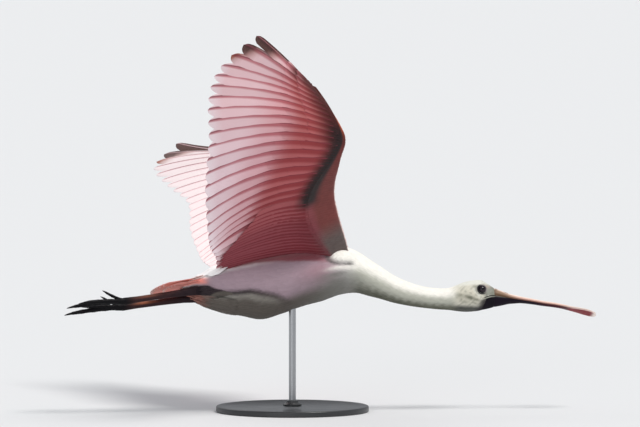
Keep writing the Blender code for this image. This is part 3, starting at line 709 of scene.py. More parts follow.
# Marks on the body along X, as the sine of the angle round it
bodyMarks = {
    # where the flank feathers fold over the belly
    "fold": (
        (-170, -0.4), (-150, -0.4), (-120, -0.34), (-86, -0.26), (-60, -0.36), (-44, -0.47), (-24, -0.72),
        (0, -0.9),
    ),
    # how low the wing's rose feathers come down over the body's side
    "wingFoot": (
        (-160, 0.95), (-140, 0.85), (-110, 0.7), (-80, 0.66), (-40, 0.55), (-12, 0.43), (20, 0.31), (60, 0.1),
    ),
    "flankTop": ((-160, 0.52), (-128, 0.8)),
}
tuft = {"x": 70.0, "long": 23.0, "rise": 0.4, "tall": 0.3, "bulge": 7.0}  # of each shoulder


def fromTuft(x, rise):
    # how far a place lies behind and above the middle of the shoulder tuft, in sizes of the tuft
    return (x - tuft["x"]) / tuft["long"], (rise - tuft["rise"]) / tuft["tall"]


def bodyColour(x, angle):
    rise, near = np.sin(angle), np.abs(np.cos(angle))
    patchy = 0.5 + 0.5 * np.sin(x * 0.31 + 4 * np.sin(angle * 7)) * np.sin(angle * 23 + x * 0.13)
    fold, foot, flankTop = (linear(bodyMarks[key], x) for key in ("fold", "wingFoot", "flankTop"))
    # how far the down below the fold is darkened with painted shade
    downShade = np.clip(ease(fold - 0.1, fold - 0.42, rise) + 0.3 * patchy - 0.1, 0, 1)
    foldShadeWidth = 0.09 + 0.03 * ease(-120, -165, x)
    # the neck is painted darker toward its underside, as shade
    neck = layered(
        hues["cream"],
        ("neckHalfShade", ease(0.25, -0.4, rise - 0.12 * patchy)),
        ("neckShade", ease(-0.35, -0.95, rise + 0.15 * patchy)),
    )
    wingLow = ease(foot - 0.06, foot + 0.07, rise) * ease(0.3, 0.52, near) * ease(70, 20, x)
    behind, above = fromTuft(x, rise)
    away = np.hypot(behind, above)
    return layered(
        hues["white"],
        # the flank's pink, dulled with painted shade under the wing and painted lighter toward the top
        (
            hues["flank"] * (0.94 + 0.1 * ease(-0.4, 0.3, rise))[..., None],
            ease(flankTop, flankTop - 0.32, rise) * ease(100, 30, x) * ease(-215, -150, x),
        ),
        # painted shade: the down below the flank's fold darkens toward the belly's colour, the underside is
        # dark, and a dark line lies in the fold
        (
            blendColour(hues["thighDown"], hues["belly"], downShade),
            ease(fold + 0.02, fold - 0.04, rise) * ease(60, -20, x),
        ),
        ("belly", ease(-0.5, -0.85, rise) * ease(110, 30, x)),
        (
            blendColour(hues["fold"], hues["tibia"], ease(-60, -105, x)),
            bump(fold - 0.06, foldShadeWidth, rise) * ease(0, -40, x) * near,
        ),
        (neck, ease(50, 105, x)),
        ("chestShade", ease(-0.1, -0.6, rise) * bump(62, 42, x) * 0.9),
        # the rose of the wing runs down onto the body's side, deepened with painted shade under the wing
        ("shadedLobeRose", wingLow * ease(-158, -140, x) * 0.92),
        ("shadedLobeRose", bump(30, 34, x) * bump(-0.05, 0.35, rise) * near * 0.3),
        ("salmon", ease(-152, -168, x) * ease(-0.3, -0.05, rise) * ease(0.6, 0.4, rise) * 0.85),
        # the shoulder tuft, with painted shade in grey lines under its edge and under the white streak below
        # it
        ("cream", ease(1.05, 0.7, away) * near),
        ("grey", bump(1.12, 0.2, away) * ease(0.35, -0.35, behind + above) * near),
        ("cream", bump(64, 20, x) * bump(-0.1, 0.07, rise) * near * 0.8),
        ("chestShade", bump(60, 26, x) * bump(-0.32, 0.11, rise) * near * 0.8),
        (headColour(x, angle), ease(256, 276, x)),
    )


# The eye, the mouth line as places along X with their heights, and the soft dark marks on the head:
# each smudge's place along X, height, length, height of the mark and depth
head = {
    "eye": (310.0, 13.4, -2.6), "eyeRadius": 7.6, "lidOut": 4.7,
    "gape": ((307, -20.4), (314.5, -17.4), (321, -14.6), (327, -12.7), (334, -12.0)),
    "smudges": (
        (291, -18.0, 9, 4.0, 1.0), (304, -21.5, 6, 2.2, 0.9), (301, -27.5, 4, 2.0, 0.8),
        (300.5, 1.5, 3.5, 3.5, 0.85), (272, -14.0, 9, 5.0, 0.6), (284, -26.0, 7, 3.0, 0.5),
    ),
}


def headColour(x, angle):
    z, near = bodyPoint(x, angle)[..., 2], np.abs(np.cos(angle))
    patchy = 0.5 + 0.5 * np.sin(x * 0.55 + 3 * np.sin(angle * 5)) * np.sin(angle * 9 + x * 0.2)
    smudges = (
        ("cheek", bump(place, long, x) * bump(height + 0.2 * (place - x), tall, z) * near * depth)
        for place, height, long, tall, depth in head["smudges"]
    )
    streak = bump(0.0, 2.4, (x - 304) * 0.78 + (z + 10) * 0.62) * bump(304, 7, x) * near
    return layered(
        hues["forehead"],
        ("tan", ease(9, 2, z) * near),
        ("cheek", ease(0.5, 0.95, patchy) * 0.45 * ease(8, -2, z)),
        *smudges,
        ("forehead", streak * 0.9),
        # painted shade under the head
        ("headUnder", ease(-28.5, -35.5, z) * 0.95),
    )


def headPlace(x, angle):
    # height, whether it is on the side, distance from the eye, and height of the mouth line there
    point = bodyPoint(x, angle)
    z = point[..., 2]
    distance = np.hypot(x - head["eye"][0], z - head["eye"][2])
    return z, np.abs(point[..., 1]) > 4, distance, linear(head["gape"], x)


def bareHead(x, angle):
    # where the skin is bare: in front of the eye with a ring round it, and the throat pouch
    z, onSide, distance, mouth = headPlace(x, angle)
    ring = ease(10.5, 9.0, distance) * onSide
    lores = ease(314, 319, x + 0.3 * np.minimum(z - mouth, 12)) * (z > mouth)
    pouch = ease(316, 320, x + 0.5 * (mouth - z)) * (z < mouth - 0.5)
    return np.maximum(ring, lores), pouch


def skinColour(x, angle):
    z, onSide, distance, mouth = headPlace(x, angle)
    bare, pouch = bareHead(x, angle)
    spots = 0.5 + 0.5 * np.sin(x * 0.9 + 2 * np.sin(z * 0.8)) * np.sin(z * 1.1 + x * 0.35)
    face = layered(
        hues["lores"],
        ("forehead", ease(2, 10, z)),
        ("cheek", ease(326, 333, x) * 0.5),
        ("cheek", ease(0.5, 0.95, spots) * 0.4),
        ("brow", bump(316, 7, x) * bump(3.0, 2.8, z) * 0.8),
    )
    # the pouch's dark runs back along the underside of the head, partly its own colour and partly painted
    # shade
    pouchShadeEdge = ease(306, 319, x + 0.5 * (mouth - z)) * ease(1.0, 4.0, mouth - z)
    return layered(
        bodyColour(x, angle),
        (face, bare * 0.9),
        ("gular", np.maximum(pouch, pouchShadeEdge * 0.92)),
        # a ring of painted shade on the skin round the eyeball, where it meets the lids
        ("gular", ease(7.6, 6.2, distance) * onSide),
    )


print("stage: charts and finishes ready")


# One skin over the flesh of the body, neck, head, thighs and arms of the wings
legShape = {
    "knee": (-96, 30, -20), "ankle": (-182, 20, -19), "shankEnd": (-301, 14, -39), "leftDrop": 4.5,
    "thighRadii": ((0, 13), (0.4, 10.0), (0.75, 8.6), (1.0, 7.4)),
}


def legPoint(key, side):
    x, y, z = legShape[key]
    return np.array((x, y * side, z - (legShape["leftDrop"] if side > 0 else 0.0)))


def thighPath(side, t):
    knee, ankle = legPoint("knee", side), legPoint("ankle", side)
    return knee + (ankle - knee) * t[:, None]


def ringsOn(path, radii, sides, squash=1.0):
    # rings across a path; squash makes them lower than they are wide
    path, radii = np.asarray(path, float), np.asarray(radii, float)
    ahead = unit(np.gradient(path, axis=0))
    across = unit(np.cross(ahead, (0.0, 0.0, 1.0)))
    rise = np.cross(across, ahead)
    turn = turns(sides)
    if radii.ndim == 1:
        radii = np.repeat(radii[:, None], sides, 1)
    return (
        path[:, None]
        + radii[..., None] * np.cos(turn)[:, None] * across[:, None]
        + (radii * squash)[..., None] * np.sin(turn)[:, None] * rise[:, None]
    )


def armRings(chart):
    s = np.concatenate([np.linspace(-1, 0, 14), np.linspace(0.03, 0.3, 9)])
    rings = []
    for u in np.linspace(0.0, 2.99, 90):
        half = np.maximum(chart.flesh(u, s) * wingShape["fleshShare"] - 0.9, 0.45)
        rings.append(np.concatenate([chart.surface(u, s, half), chart.surface(u, s, -half)[::-1]]))
    return rings


flesh = {"voxel": 0.0019, "soften": 0.5, "softenPasses": 4}


def fleshSamples():
    # places all over the flesh, and the colour of each
    x, angle = np.meshgrid(np.linspace(-196, 333, 260), turns(90), indexing="ij")
    samples, colours = [bodyPoint(x, angle)], [skinColour(x, angle)]
    u, s = np.meshgrid(np.linspace(0.25, 3, 120), np.linspace(-1, 0.3, 40), indexing="ij")
    for chart in wings.values():
        for sign, paint in ((1, covertUpperColour), (-1, covertUnderColour)):
            samples.append(chart.surface(u, s, chart.flesh(u, s) * sign))
            colours.append(paint(u, s))
    t = np.linspace(0.66, 1.05, 40)
    for _label, side in bothSides:
        samples.append(ringsOn(thighPath(side, t), linear(legShape["thighRadii"], t), 12))
        colours.append(np.tile(hues["tibia"], (40 * 12, 1)))
    return (np.concatenate([grid.reshape(-1, 3) for grid in grids]) for grids in (samples, colours))


def buildSkin():
    x = np.concatenate([np.linspace(-196, 270, 150), np.linspace(272, 333, 40)])[:, None]
    lofts = [loft(bodyPoint(x, turns(72), -linear(bodyShape["coat"], x)))]
    t = np.linspace(0, 1, 30)
    for _label, side in bothSides:
        lofts.append(loft(ringsOn(thighPath(side, t), linear(legShape["thighRadii"], t), 24)))
    lofts += [loft(armRings(chart)) for chart in wings.values()]
    points, faces = joined(lofts)
    mesh = bpy.data.meshes.new("fleshParts")
    mesh.from_pydata(toStand(points).tolist(), [], faces)
    rough = bpy.data.objects.new("fleshParts", mesh)
    bpy.context.scene.collection.objects.link(rough)
    turnOutward(rough)
    remesh = rough.modifiers.new("oneSkin", "REMESH")
    remesh.mode = "VOXEL"
    remesh.voxel_size = flesh["voxel"]
    smooth = rough.modifiers.new("soften", "SMOOTH")
    smooth.factor, smooth.iterations = flesh["soften"], flesh["softenPasses"]
    bpy.context.view_layer.update()
    made = bpy.data.meshes.new_from_object(rough.evaluated_get(bpy.context.evaluated_depsgraph_get()))
    bpy.data.objects.remove(rough)
    where = np.empty(len(made.vertices) * 3)
    made.vertices.foreach_get("co", where)
    where = where.reshape(-1, 3)
    cells = [tuple(p.vertices) for p in made.polygons]
    bpy.data.meshes.remove(made)
    samples, colours = fleshSamples()
    tree = KDTree(len(samples))
    for i, place in enumerate(toStand(samples)):
        tree.insert(place, i)
    tree.balance()
    painted = np.array([colours[tree.find(place)[1]] for place in where])
    piece = addPiece(
        "skin", where, cells, [finishes["skin"]], painted, sharpDeg=180, placed=True
    )
    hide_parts("torso", "neck_lower", "neck_upper", "head", "leg_left_thigh", "leg_right_thigh")
    print("made skin", len(cells) * 2, "triangles")


buildSkin()


# Flight feathers
remexShape = {
    "seat": 0.7, "louvre": 2.5, "thick": 0.22, "camber": 0.8, "rows": 30, "columns": 9,
    "inward": ((0.0, 0.1), (0.2, 0.12), (0.3, 0.9), (0.62, 0.97), (0.86, 0.95), (1.0, 0.9)),
    "outward": ((0.0, 0.1), (0.2, 0.12), (0.3, 0.38), (0.62, 0.42), (0.86, 0.42), (1.0, 0.4)),
    "widest": ((0.0, (29, 8)), (2.5, (29, 8)), (2.75, (22, 6)), (3.0, (13, 3.5))),
    "roundFrom": 0.95, "tipShift": 0.9,
    "numbers": ((0.0, 1.0, 5), (1.0, 2.0, 10), (2.0, 3.0, 10)),  # on the arm, the forearm and the hand
    "shaft": srgb(226, 196, 190), "shaftEnd": srgb(168, 92, 98), "shaftTop": srgb(238, 208, 210),
}


def remexPlaces():
    places = []
    for low, high, count in remexShape["numbers"]:
        pitch = (high - low) / count
        places += [(low + (k + remexShape["seat"]) * pitch, pitch) for k in range(count)]
    return np.array(places)


def louvreAt(s):
    # how much each feather slants so that it overlaps the next, less under the coverts
    return remexShape["louvre"] * (0.14 + 0.86 * ease(0.2, 0.7, s))


def buildRemiges(label, chart):
    u0, pitch = remexPlaces().T
    count = len(u0)
    share = np.concatenate([
        np.linspace(0.02, 0.28, 6), np.linspace(0.32, 0.94, 14),
        0.94 + 0.06 * np.sin(np.linspace(0, 1, remexShape["rows"] - 19)[1:] * math.pi / 2),
    ])
    # half widths on both sides of the shaft in feather spacings, rounded off at the tip
    room = chart.spacing(u0[:, None], share, pitch[:, None])
    taper = np.minimum(1.0, 5 * (1.1 - share))
    inward, outward = (
        np.minimum(linear(remexShape[key], share), curveAt(remexShape["widest"], u0)[:, [k]] * taper / room)
        for k, key in enumerate(("inward", "outward"))
    )
    left = np.clip((share - remexShape["roundFrom"]) / (1 - remexShape["roundFrom"]), 0, 1)
    end = np.sqrt(np.clip(1 - left**2, 0.0, 1.0)) * 0.96 + 0.04
    middle = (inward - outward) / 2 * remexShape["tipShift"]
    inward, outward = middle + (inward - middle) * end, (outward + middle) * end - middle
    inward = inward * (1 + 0.02 * np.sin(share * 31 + rng.uniform(0, 6.28, (count, 1))) * (share < 0.9))
    spot = np.linspace(0, 1, remexShape["columns"])
    crown = 1 - (2 * spot - 1) ** 2
    across = -inward[..., None] + (inward + outward)[..., None] * spot
    u = each(u0) + across * each(pitch)
    s = np.broadcast_to(share[:, None], u.shape)
    lift = across * louvreAt(s) + remexShape["camber"] * crown * ease(0.15, 0.4, s)
    lift = lift + rng.uniform(-1, 1, (count, 1, 1)) * 0.5 * ease(0.4, 1.0, s)
    top, bottom = chart.bothFaces(u, s, lift, remexShape["thick"] * (0.45 + 0.55 * crown))
    place = each(u0) + 0 * u
    upper = layered(hues["wingWhite"], ("blush", 0.5 * ease(0.6, 0.2, s)))
    # the right wing's innermost tips take the deep rose with its painted shade
    if chart.side < 0:
        upper = layered(upper, ("shadedLobeRose", each(u0 < 0.4) * ease(0.8, 0.95, s)))
    upper = wingTipMarks(place, s, across, upper)
    shade = 1 + rng.uniform(-0.05, 0.05, (count, 1, 1, 1))
    under = wingTipMarks(place, s, across, remexUnder(place, s)) * shade
    bakeRoot = np.stack([0.02 + 0.96 * np.arange(count) / count, np.full(count, 0.02)], -1)
    piece = addVanes(
        f"flightFeathers_{label}", top, bottom, across, s, bakeRoot, np.array((0.034, 0.95)),
        [vaneMaterials["remexUpper"], vaneMaterials["remexUnder"]], upper, under,
    )
    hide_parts(f"wing_{label}_arm", f"wing_{label}_forearm", f"wing_{label}_hand")
    # shafts, raised on both faces
    t = np.linspace(0.0, 0.975, 24)
    lift = 0.25 * ease(0.1, 0.3, t) + remexShape["camber"] * 0.8 * ease(0.15, 0.4, t)
    thick = 1.05 * (1 - t) ** 0.7 + 0.2
    points, faces = joined(loft(ringsOn(chart.surface(one, t, lift), thick, 8)) for one in u0)
    topSide = ease(-0.4, 0.4, np.sin(turns(8)) - chart.side * np.cos(turns(8)))
    colour = layered(
        remexShape["shaft"],
        (remexShape["shaftEnd"], ease(0.0, 0.35, np.linspace(0, 1, 24)[:, None]) * 0.8),
        (remexShape["shaftTop"], topSide),
    )
    addPiece(
        f"featherShafts_{label}", points, faces, [finishes["claw"]],
        np.tile(colour.reshape(-1, 3), (count, 1)), sharpDeg=80,
    )


for label, chart in wings.items():
    buildRemiges(label, chart)


# Coverts: rows of smaller vanes over the bases of the flight feathers and the arm
covertRows = {
    # side, number (0: one on each flight feather), how far out, half width, root and tip by place,
    # and lift of the row
    "greaterUpper": (1, 0, 3.0, 1.0, ((0, 0.06), (3, 0.08)), ((0, 0.5), (2, 0.47), (3, 0.42)), 0.7),
    "medianUpper": (1, 0, 3.0, 1.0, ((0, 0.0), (3, 0.02)), ((0, 0.31), (2, 0.3), (3, 0.28)), 1.3),
    "greaterUnder": (
        -1, 0, 3.0, 1.0, ((0, 0.06), (3, 0.08)),
        ((0, 0.97), (0.45, 0.93), (0.8, 0.74), (1.1, 0.6), (1.6, 0.52), (2, 0.46), (3, 0.4)), 0.7,
    ),
    "medianUnder": (
        -1, 0, 3.0, 1.0, ((0, 0.0), (3, 0.02)),
        ((0, 0.7), (0.6, 0.56), (1.1, 0.36), (2, 0.28), (3, 0.25)), 1.2,
    ),
    "axillaries": (
        -1, 17, 1.06, 1.2, ((0, -0.04), (3, -0.04)),
        ((0, 0.985), (0.3, 0.985), (0.5, 0.95), (0.62, 0.885), (0.8, 0.73), (1.0, 0.5)), 1.9,
    ),
}
covertVane = {
    "rows": 13, "columns": 5, "thick": 0.12, "camber": 0.4, "louvre": 0.35, "inward": 0.98, "outward": 0.45,
    "width": ((0.0, 0.35), (0.15, 0.75), (0.5, 1.0), (0.84, 0.96), (0.93, 0.78), (0.98, 0.45), (1.0, 0.12)),
}


def buildCoverts(label, chart, name, row):
    sign, number, reach, half, roots, tips, layer = row
    if number:
        pitch = np.full(number, reach / number)
        u0 = (np.arange(number) + 0.6) * pitch + rng.uniform(-0.12, 0.12, number) * pitch
        inward, outward = half, half
    else:
        u0, pitch = remexPlaces().T
        inward, outward = covertVane["inward"], covertVane["outward"]
    count = len(u0)
    sRoot = linear(roots, u0)
    sTip = linear(tips, u0) * (1 + rng.uniform(-0.03, 0.03, count) * (0.4 if number else 1.0))
    share, spot = vaneGrid(covertVane)
    share = share**0.85
    across = linear(covertVane["width"], share) * np.where(spot < 0, inward * spot, outward * spot)
    across = across * np.ones((count, 1, 1))
    u = np.clip(each(u0) + across * each(pitch), 0.0, wingShape["end"])
    s = each(sRoot) + each(sTip - sRoot) * share + 0 * u - 0.012 * spot**2 * share
    base = chart.flesh(u, s) * wingShape["fleshShare"]
    climb = layer * (0.35 + 0.65 * ease(0, 0.4, share))
    if number:
        clear = louvreAt(s) * (0.98 if sign < 0 else 0.45)
        slant = across * covertVane["louvre"] + sign * (covertVane["camber"] * (1 - spot**2) + clear)
    else:
        own = (across + inward) / (inward + outward)
        camber = remexShape["camber"] * (1 - (2 * own - 1) ** 2)
        slant = across * louvreAt(s) + camber * ease(0.15, 0.4, s)
    lift = sign * (base + climb) + slant + sign * rng.uniform(0, 0.15, (count, 1, 1)) * share
    top, bottom = chart.bothFaces(u, s, lift, covertVane["thick"] * (1 - 0.5 * spot**2))
    shade = 1 + rng.uniform(-0.05, 0.05, (count, 1, 1, 1))
    if sign > 0:
        colour = covertUpperColour(u, s) * (1 + 0.3 * (shade - 1))
    else:
        # toward their tips the big under coverts take on the flight feathers' colour
        toward = ease(0.45, 1.0, share) * {"greaterUnder": 1.0, "medianUnder": 0.4}.get(name, 0.0)
        colour = blendColour(covertUnderColour(u, s), remexUnder(u, s), toward + 0 * u) * shade
    bakeRoot = np.stack([0.02 + 0.95 * u0 / 3.1, 0.05 + 0.85 * (sRoot + 0.2)], -1)
    addVanes(
        f"{name}_{label}", top, bottom, across, share + 0 * u if number else s, bakeRoot, 0.016,
        [vaneMaterials["remexUpper"], vaneMaterials["remexUnder"]], colour, colour,
    )


for label, chart in wings.items():
    for name, row in covertRows.items():
        buildCoverts(label, chart, name, row)


# Lesser and marginal coverts: many short rows from the bone forward to the leading edge
lesser = {
    "rows": 6, "columns": 3, "thick": 0.1, "stepMm": 4.6, "lengthMm": 15.0, "widthMm": 4.4, "lift": 1.2,
    "seats": np.linspace(0.14, -0.97, 15), "width": ((0, 0.5), (0.3, 1.0), (0.75, 0.85), (1.0, 0.15)),
}


def buildLesser(label, chart, sign):
    u0, s0 = [], []
    line = np.linspace(0.0, 3.0, 400)
    for k, s in enumerate(lesser["seats"]):
        run = lengthAlong(chart.surface(line, s, 0.0))
        places = np.arange(0.5 * (k % 2), run[-1] / lesser["stepMm"]) * lesser["stepMm"]
        u0.append(np.interp(places, run, line))
        s0.append(np.full(len(places), s))
    u0, s0 = np.concatenate(u0), np.concatenate(s0)
    keep = s0 > -1.0 + 0.9 * ease(2.85, 3.0, u0)
    count = keep.sum()
    u0 = u0[keep] + rng.uniform(-0.004, 0.004, count)
    s0 = np.clip(s0[keep] + rng.uniform(-0.015, 0.015, count), -0.985, 1)
    bone, lead, tips = (chart.read(table, u0) for table in (chart.bones, chart.lead, chart.tips))
    chordFront = np.maximum(np.linalg.norm(bone - lead, axis=-1), 8)
    chordBack = np.linalg.norm(tips - bone, axis=-1)
    small = 0.55 + 0.45 * ease(-1.0, -0.2, s0)
    length = lesser["lengthMm"] * small * rng.uniform(0.9, 1.1, count)
    share, spot = vaneGrid(lesser)
    run = each(length) * share
    # place s is a share of the chord in front of the bone and of the longer one behind it
    s = each(s0) + run / each(chordFront)
    s = np.where(s > 0, s * each(chordFront / chordBack), s)
    s = np.where(each(s0) > 0, each(s0) + run / each(chordBack), s)
    pitchMm = chart.spacing(u0, np.maximum(s0, -0.9), 0.02) / 0.02
    width = linear(lesser["width"], share) * spot
    across = width * lesser["widthMm"] * (each(small) * 0.6 + 0.4)
    u = np.clip(each(u0) + across / each(pitchMm), 0.0, wingShape["end"])
    s = s + 0 * u
    base = chart.flesh(u, s) * wingShape["fleshShare"]
    climb = lesser["lift"] * (0.35 + 0.65 * share) * (0.35 + 0.65 * each(small))
    lift = sign * (base - 0.6 + climb + 0.35 * (1 - spot**2))
    shade = 1 + rng.uniform(-0.08, 0.08, (count, 1, 1, 1))
    kind, paint, tone = "Upper", covertUpperColour, 1 + 0.3 * (shade - 1)
    if sign < 0:
        kind, paint, tone = "Under", covertUnderColour, shade
    bakeRoot = np.stack([0.01 + 0.97 * u0 / 3.1, 0.02 + 0.9 * (s0 + 1.0) / 1.2], -1)
    addCoat(
        f"lesserCoverts_{kind.lower()}_{label}", *chart.bothFaces(u, s, lift, lesser["thick"]), width + 0 * u,
        share, bakeRoot, 0.0035, paint(u, s) * tone, "covert" + kind, "pink_feather",
    )


for label, chart in wings.items():
    for sign in (1, -1):
        buildLesser(label, chart, sign)


# Body feathers: shingled rows from the rump to the face
contour = {
    "zones": {
        # from x, to x, row step, length, half width, lift at the tip
        "rumpFeathers": (-186, -64, 4.8, 18.0, 4.1, 0.8),
        "bodyFeathers": (-64, 60, 4.8, 18.0, 4.1, 0.65),
        "chestFeathers": (60, 130, 4.4, 15.0, 3.6, 0.6),
        "neckFeathers": (130, 262, 3.7, 11.0, 2.6, 0.5),
        "headFeathers": (262, 334, 2.5, 6.8, 1.7, 0.26),
    },
    "rows": 5, "columns": 3, "thick": 0.08,
    "width": ((0, 0.4), (0.25, 0.9), (0.5, 1.0), (0.75, 0.8), (1.0, 0.2)),
}


def flankLedge(x, angle):
    # the flank stands proud above its fold, and the shoulder tuft bulges
    rise, near = np.sin(angle), np.abs(np.cos(angle))
    fold = linear(bodyMarks["fold"], x)
    flank = ease(fold - 0.03, fold + 0.03, rise) * ease(fold + 0.65, fold + 0.05, rise)
    flank = flank * ease(-5, -40, x) * ease(-180, -150, x)
    bulge = np.clip(1 - np.hypot(*fromTuft(x, rise)) ** 2, 0.0, 1.0) ** 0.7 * near
    lower = np.exp(-(((x - 64) / 20) ** 2) - ((rise + 0.1) / 0.1) ** 2) * near
    return 2.6 * flank + tuft["bulge"] * bulge + 1.8 * lower


def buildContour(name, zone):
    low, high, step, length, half, tipLift = zone
    x0, a0 = [], []
    angle = np.linspace(0, 2 * math.pi, 200)
    for k, x in enumerate(np.arange(low, high, step)):
        run = lengthAlong(bodyPoint(x, angle))
        number = max(6, int(run[-1] / (half * 1.25)))
        places = (np.arange(number) + 0.5 * (k % 2)) * run[-1] / number
        a0.append(np.interp(places, run, angle))
        x0.append(np.full(number, x))
    x0, a0 = np.concatenate(x0), np.concatenate(a0)
    x0 = x0 + rng.uniform(-0.3, 0.3, len(x0)) * step
    a0 = a0 + rng.uniform(-0.02, 0.02, len(x0))
    keep = (np.maximum(*bareHead(x0 - 2, a0)) < 0.5) & (x0 < 331)
    x0, a0 = x0[keep], a0[keep]
    count = len(x0)
    grow = rng.uniform(0.85, 1.15, count)
    lean = rng.uniform(-0.12, 0.12, count)
    share, spot = vaneGrid(contour)
    perTurn = np.linalg.norm(bodyPoint(x0, a0 + 0.02) - bodyPoint(x0, a0 - 0.02), axis=-1) / 0.04
    x = each(x0) - each(length * grow) * share + 0 * spot
    across = linear(contour["width"], share) * spot + 0 * x
    angle = each(a0) + (across * half + each(lean) * length * share) / each(perTurn)
    x = np.maximum(x, -210.0)
    lift = 0.1 - linear(bodyShape["coat"], x) + tipLift * (0.2 + 0.8 * share) + 0.075 * half * (1 - spot**2)
    lift = lift + rng.uniform(-0.1, 0.5, (count, 1, 1)) * share * tipLift * 0.4 + flankLedge(x, angle)
    shade = 1 + rng.uniform(-0.05, 0.04, (count, 1, 1, 1)) + 0.05 * (share - 0.7)[..., None]
    paint = skinColour if name == "headFeathers" else bodyColour
    colour = blendColour(paint(x + 3.0, angle), each(paint(x0 - 0.6 * length, a0)), 0.25 + 0 * x) * shade
    bakeRoot = np.stack([a0 % (2 * math.pi) / (2 * math.pi), (x0 - low + step) / (high - low + 2 * step)], -1)
    addCoat(
        name, *bothFaces(x, angle, lift, contour["thick"]), across * 0.9, share, 0.01 + 0.97 * bakeRoot,
        0.0032, colour,
    )


for name, zone in contour["zones"].items():
    buildContour(name, zone)


# Tail
tailShape = {
    "root": (-160.0, 0.0, 3.0), "tip": (-256.0, 0.0, -20.0), "spread": 1.0, "droop": 0.04, "roll": 0.27,
    "thick": 0.2, "width": ((0, 0.25), (0.3, 0.9), (0.85, 1.0), (0.93, 0.8), (0.98, 0.45), (1.0, 0.15)),
    "rows": {
        # feathers on each side, fan angle, start, length, half width, height, step down, paler share
        "tailFeathers": (6, 10.0, 18.0, 81.0, 11.0, 2.0, 0.4, 0.2),
        "tailUpperCoverts": (7, 9.0, -10.0, 86.0, 8.5, 7.0, 0.2, 0.8),
        "tailUpperShort": (8, 10.0, -20.0, 62.0, 8.0, 10.0, 0.2, 1.0),
        "tailUnderCoverts": (6, 9.0, 0.0, 78.0, 9.0, -4.0, 0.3, 0.0),
        "tailUnderShort": (6, 9.0, -10.0, 60.0, 8.0, -6.5, 0.3, 0.0),
    },
}


def tailPoint(reach, turn, aside, height):
    root, tip = np.array(tailShape["root"]), np.array(tailShape["tip"])
    back = unit(tip - root)
    left = np.array((0.0, 1.0, 0.0))
    rise = np.cross(left, back)
    cos, sin = np.cos(turn)[..., None], np.sin(turn)[..., None]
    way, beside = back * cos + left * sin, left * cos - back * sin
    spread = np.degrees(turn) * tailShape["spread"]
    out = spread + reach * np.sin(turn) + aside * np.cos(turn)
    height = height - tailShape["droop"] * (np.sqrt(out**2 + 64) - 8) - tailShape["roll"] * out
    seat = root + left * spread[..., None]
    return seat + way * reach[..., None] + beside * aside[..., None] + rise * height[..., None]


def buildTail(name, row):
    count, fan, start, length, half, height, step, pale = row
    upper = "Upper" in name
    k = np.arange(-count, count + 1)
    share = np.concatenate([np.linspace(0, 0.85, 12), np.linspace(0.9, 1, 6)])[:, None]
    spot = np.linspace(-1, 1, 7)
    reach = start + each(length * (1 - 0.24 * (k / count) ** 2)) * share + 0 * spot
    turn = each(np.radians(fan) * k / count) + 0 * reach
    across = linear(tailShape["width"], share) * spot + 0 * reach
    # toward their tips the coverts settle on the tail feathers
    layer = 0.0 if name == "tailFeathers" else math.copysign(0.8 if upper else 1.8, height)
    settle = height + (layer - height) * ease(0.0, 0.9, share)
    lift = settle - each(np.abs(k)) * step - across * each(np.sign(k)) * 0.5 + 0.5 * (1 - spot**2)
    thick = tailShape["thick"]
    top, bottom = (tailPoint(reach, turn, across * half, lift + up) for up in (thick, -thick))
    middle = np.maximum(ease(0.75, 0.1, np.abs(k / count)), 0.9 * upper)
    fringe = ease(0.3, 1.0, np.abs(spot)) * 0.2
    colour = layered(
        hues["salmon"],
        ("tailWhite", pale * each(middle) + 0 * reach),
        ("tailWhite", ease(0.93, 1.0, share) * 0.6 + fringe),
    )
    colour = colour * (1 + rng.uniform(-0.06, 0.06, (len(k), 1, 1, 1)))
    bakeRoot = np.stack([0.05 + 0.9 * np.arange(len(k)) / len(k), np.full(len(k), 0.05)], -1)
    return addCoat(
        name, top, bottom, across * 0.9, share, bakeRoot, np.array((0.06, 0.9)), colour,
        "tail", "pink_feather",
    )


for name, row in tailShape["rows"].items():
    tail = buildTail(name, row)
    if name == "tailFeathers":
        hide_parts("tail")


# Loose feathers behind the belly, round the tops of the legs
vent = {
    "count": 520, "from": -166, "to": -104, "spread": 0.86, "depth": 3.0,
    "rows": 9, "columns": 3, "length": (22.0, 38.0), "half": 3.4, "thick": 0.07,
    "width": ((0, 0.5), (0.3, 1.0), (0.6, 0.95), (0.85, 0.6), (1.0, 0.08)),
}


